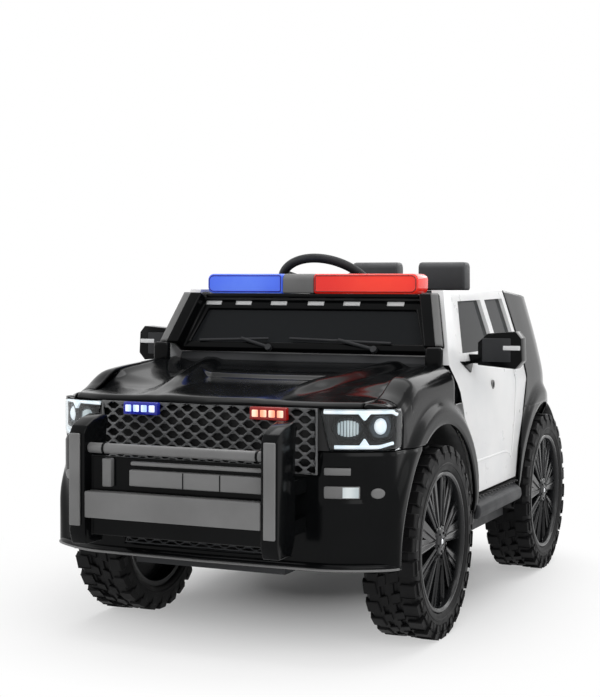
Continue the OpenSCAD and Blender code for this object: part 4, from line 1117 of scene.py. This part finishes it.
bm = bmesh.new()
addPanel(bm, "frame")
addPanel(bm, "handle")
faceOut(bm)
putPiece(bm, "tailHandle", mattBlack, "black_gloss", 45)
bm = bmesh.new()
addPanel(bm, "plate")
faceOut(bm)
putPiece(bm, "tailPlate", satinGrey, "satin_grey", 45)
# reflectors on the rear bumper, in the light bar's red lens: they glow a little, a painted glow, as they are no lamps
bm = bmesh.new()
addBoxPair(bm, *tailShape["reflector"], 1.2, 2)
putPiece(bm, "tailReflectors", lensRed, "lens_red", 45)

# inner trim of the rear: shelves over the wheel arches, and strips that close the tailgate's sides
rearTrim = {"shelfZ": 353, "inner": 212, "from": -190, "to": 148, "shelfIn": 6.5,
            "closeZ": (242, 554), "closeBack": 9, "closeIn": 3, "closeWide": 22, "closeLean": 4, "wall": 2}


def shelf(side, u, d):
    outer = quarterSide(d, rearTrim["shelfZ"]) - rearTrim["shelfIn"]
    return at(side * mix(rearTrim["inner"], outer, u), car["rearY"] + d, rearTrim["shelfZ"])


def closing(side, u, z):
    d = lineRow(quarterShape["tail"], z) - rearTrim["closeBack"]
    x = quarterSide(d, z) - rearTrim["closeIn"] - rearTrim["closeWide"] * u
    return at(side * x, car["rearY"] + d - rearTrim["closeLean"] * u, z)


bm = bmesh.new()
for side in (1, -1):
    addSheet(bm, evenly(0, 1, 6), evenly(rearTrim["from"], rearTrim["to"], 30), lambda u, d: shelf(side, u, d), toTop)
    addSheet(bm, evenly(0, 1, 3), evenly(*rearTrim["closeZ"], 24), lambda u, z: closing(side, u, z), toBack)
putPiece(bm, "rearTrim", mattBlack, "black_gloss", 45, (), rearTrim["wall"])

# ribs on the side steps
stepRibs = {"count": 14, "from": -32, "pitch": 19, "long": 7, "x": (277, 304), "z": (204, 207)}
bm = bmesh.new()
(x0, x1), (low, top) = stepRibs["x"], stepRibs["z"]
for k in range(stepRibs["count"]):
    y = stepRibs["from"] + k * stepRibs["pitch"]
    addBoxPair(bm, (x0, y, low), (x1, y + stepRibs["long"], top), 0.8, 2)
putPiece(bm, "stepRibs", mattBlack, "grey_trim", 45)
print("doors and tail dressed")

# panels taken from their solids with the edges a mould leaves: edge radius in millimetres
moulded = {
    "bull_bar": 5, "bull_trim": 2, "bull_board": 2, "windscreen_frame": 4, "lightbar_base": 3, "lightbar_block": 3,
    "dashboard": 8, "seat": 16, "headrests": 12, "side_steps": 4, "tailgate": 4, "rear_bumper": 5, "tail_lamps": 3,
    "door_left": 4, "door_right": 4, "mirror_left": 9, "mirror_right": 9, "strobe_blue": 2, "strobe_red": 2,
    "steering_wheel": 2}
# where the visible surface differs from its slot's usual one
mouldedIn = {"strobe_blue": lensBlueRim, "strobe_red": lensRedRim, "seat": greyTrim, "headrests": seatGrey}
# the doors' hinge leaves are black: inside this, ahead of this and below this
hingeLeaf = {"x": 296.5, "y": -112, "z": 440}
for nodeName, width in moulded.items():
    bm = bmesh.new()
    bm.from_mesh(frame["nodes"][nodeName].data)
    bmesh.ops.remove_doubles(bm, verts=bm.verts, dist=weld)
    bmesh.ops.dissolve_limit(bm, angle_limit=radians(0.6), verts=bm.verts, edges=bm.edges)
    roundEdges(bm, width)
    surface = mouldedIn.get(nodeName, materialOf[slotOf[nodeName]])
    if nodeName.startswith("door_"):
        surface = [surface, blackGloss]
        for f in bm.faces:
            x, y, z = f.calc_center_median() / mm
            f.material_index = int(abs(x) < hingeLeaf["x"] and y < hingeLeaf["y"] and z < hingeLeaf["z"])
    putPiece(bm, "moulded_" + nodeName, surface, slotOf[nodeName], 38, [nodeName], body=bodyOf[nodeName])
print("moulded panels made")

scene = bpy.context.scene

# camera at the photograph's view: place in metres, turns in degrees
cameraView = {"place": (1.0475, -2.5335, 0.5762), "yaw": -23.695, "pitch": -2.326, "roll": 0.2185, "lens": 74.94,
              "sensor": 36, "clipEnd": 60}
yaw, pitch, roll = (radians(cameraView[k]) for k in ("yaw", "pitch", "roll"))
ahead = Vector((sin(yaw) * cos(pitch), cos(yaw) * cos(pitch), sin(pitch)))
across = Vector((cos(yaw), -sin(yaw), 0))
upward = across.cross(ahead)
axes = Matrix((across * cos(roll) + upward * sin(roll), upward * cos(roll) - across * sin(roll), -ahead))
cameraData = bpy.data.cameras.new("camera")
cameraData.lens, cameraData.sensor_width, cameraData.clip_end = (cameraView[k] for k in ("lens", "sensor", "clipEnd"))
camera = bpy.data.objects.new("camera", cameraData)
camera.matrix_world = Matrix.Translation(cameraView["place"]) @ axes.transposed().to_4x4()
scene.collection.objects.link(camera)
scene.camera = camera

# soft boxes: place, aim, width, height, power
softBoxes = {
    "key": ((2.4, -2.8, 3.0), (0, 0, 0.3), 2.2, 2.2, 44),
    "fill": ((-3.2, -1.8, 1.8), (0, 0, 0.3), 2.6, 2.0, 20),
    "top": ((0, 0.6, 3.2), (0, 0, 0), 3.0, 3.0, 64),
    "back": ((1.2, 3.4, 2.0), (0, 0, 0.3), 3.2, 1.5, 34),
    "side": ((3.6, 0.3, 1.9), (0, 0.1, 0.35), 2.0, 1.8, 12)}
for name, (place, aim, width, height, power) in softBoxes.items():
    data = bpy.data.lights.new(name, "AREA")
    data.shape, data.size, data.size_y, data.energy = "RECTANGLE", width, height, power
    lamp = bpy.data.objects.new(name, data)
    lamp.location = place
    lamp.rotation_euler = (Vector(aim) - Vector(place)).to_track_quat("-Z", "Y").to_euler()
    scene.collection.objects.link(lamp)


# 1 where the camera sees a surface, also in a mirror or through a pane, and 0 where it only lights others
def seenRays(tree):
    path = addNode(tree, "ShaderNodeLightPath").outputs
    clear = addNode(tree, "ShaderNodeMath", {"operation": "MAXIMUM"},
                    {0: path["Is Camera Ray"], 1: path["Is Transmission Ray"]})
    seen = addNode(tree, "ShaderNodeMath", {"operation": "MAXIMUM"},
                   {0: clear.outputs["Value"], 1: path["Is Glossy Ray"]})
    return seen.outputs["Value"]


# white room: full white where it is seen, lower where it lights
room = {"colour": "#ffffff", "seen": 1.0, "lit": 0.34}
world = bpy.data.worlds.new("studio")
scene.world = world
world.use_nodes = True
sky = world.node_tree
level = addNode(sky, "ShaderNodeMapRange", {"To Min": room["lit"], "To Max": room["seen"]}, {"Value": seenRays(sky)})
backdrop = sky.nodes["Background"]
backdrop.inputs["Color"].default_value = hexLinear(room["colour"])
sky.links.new(level.outputs["Result"], backdrop.inputs["Strength"])

# floor, in metres: pale under the car, where it keeps the car's shadow; outwards from the fade's middle, set a little
# behind the car's middle, it turns to the room's white and a white glow is painted in over it where it is seen,
# lightening the shadow, until it is all the room's white at the far end of the fade
floorShape = {"half": 14, "middle": (-0.05, 0.1, 0), "fade": (0.12, 0.86), "colour": "#f2f2f2", "roughness": 0.7}
bm = bmesh.new()
bmesh.ops.create_grid(bm, x_segments=8, y_segments=8, size=floorShape["half"])
floorMesh = bpy.data.meshes.new("floor")
bm.to_mesh(floorMesh)
bm.free()
floor = bpy.data.objects.new("floor", floorMesh)
scene.collection.objects.link(floor)
# studio paint: matt and pale, so that it keeps the car's shadow; the glow mixed in over it further out is painted light
paint, tree, shader, coords = startMaterial("mattStudioPaint", {"Roughness": floorShape["roughness"]})
distance = addNode(tree, "ShaderNodeVectorMath", {"operation": "DISTANCE", 1: floorShape["middle"]}, {0: coords})
fade = addNode(tree, "ShaderNodeMapRange", {"From Min": floorShape["fade"][0], "From Max": floorShape["fade"][1]},
               {"Value": distance.outputs["Value"]})
tint = addNode(tree, "ShaderNodeValToRGB", None, {"Fac": fade.outputs["Result"]},
               ((0, floorShape["colour"]), (1, room["colour"])))
tree.links.new(tint.outputs["Color"], shader.inputs["Base Color"])
# painted light: the room's white glow, mixed in more with distance from the fade's middle, lightens the car's shadow
glow = addNode(tree, "ShaderNodeEmission", {"Color": hexLinear(room["colour"]), "Strength": room["seen"]})
share = addNode(tree, "ShaderNodeMath", {"operation": "MULTIPLY"}, {0: fade.outputs["Result"], 1: seenRays(tree)})
surface = addNode(tree, "ShaderNodeMixShader", None,
                  {0: share.outputs["Value"], 1: shader.outputs["BSDF"], 2: glow.outputs["Emission"]})
tree.links.new(surface.outputs["Shader"], tree.nodes["Material Output"].inputs["Surface"])
floorMesh.materials.append(paint)

scene.view_settings.view_transform = "Standard"
print("stage set")
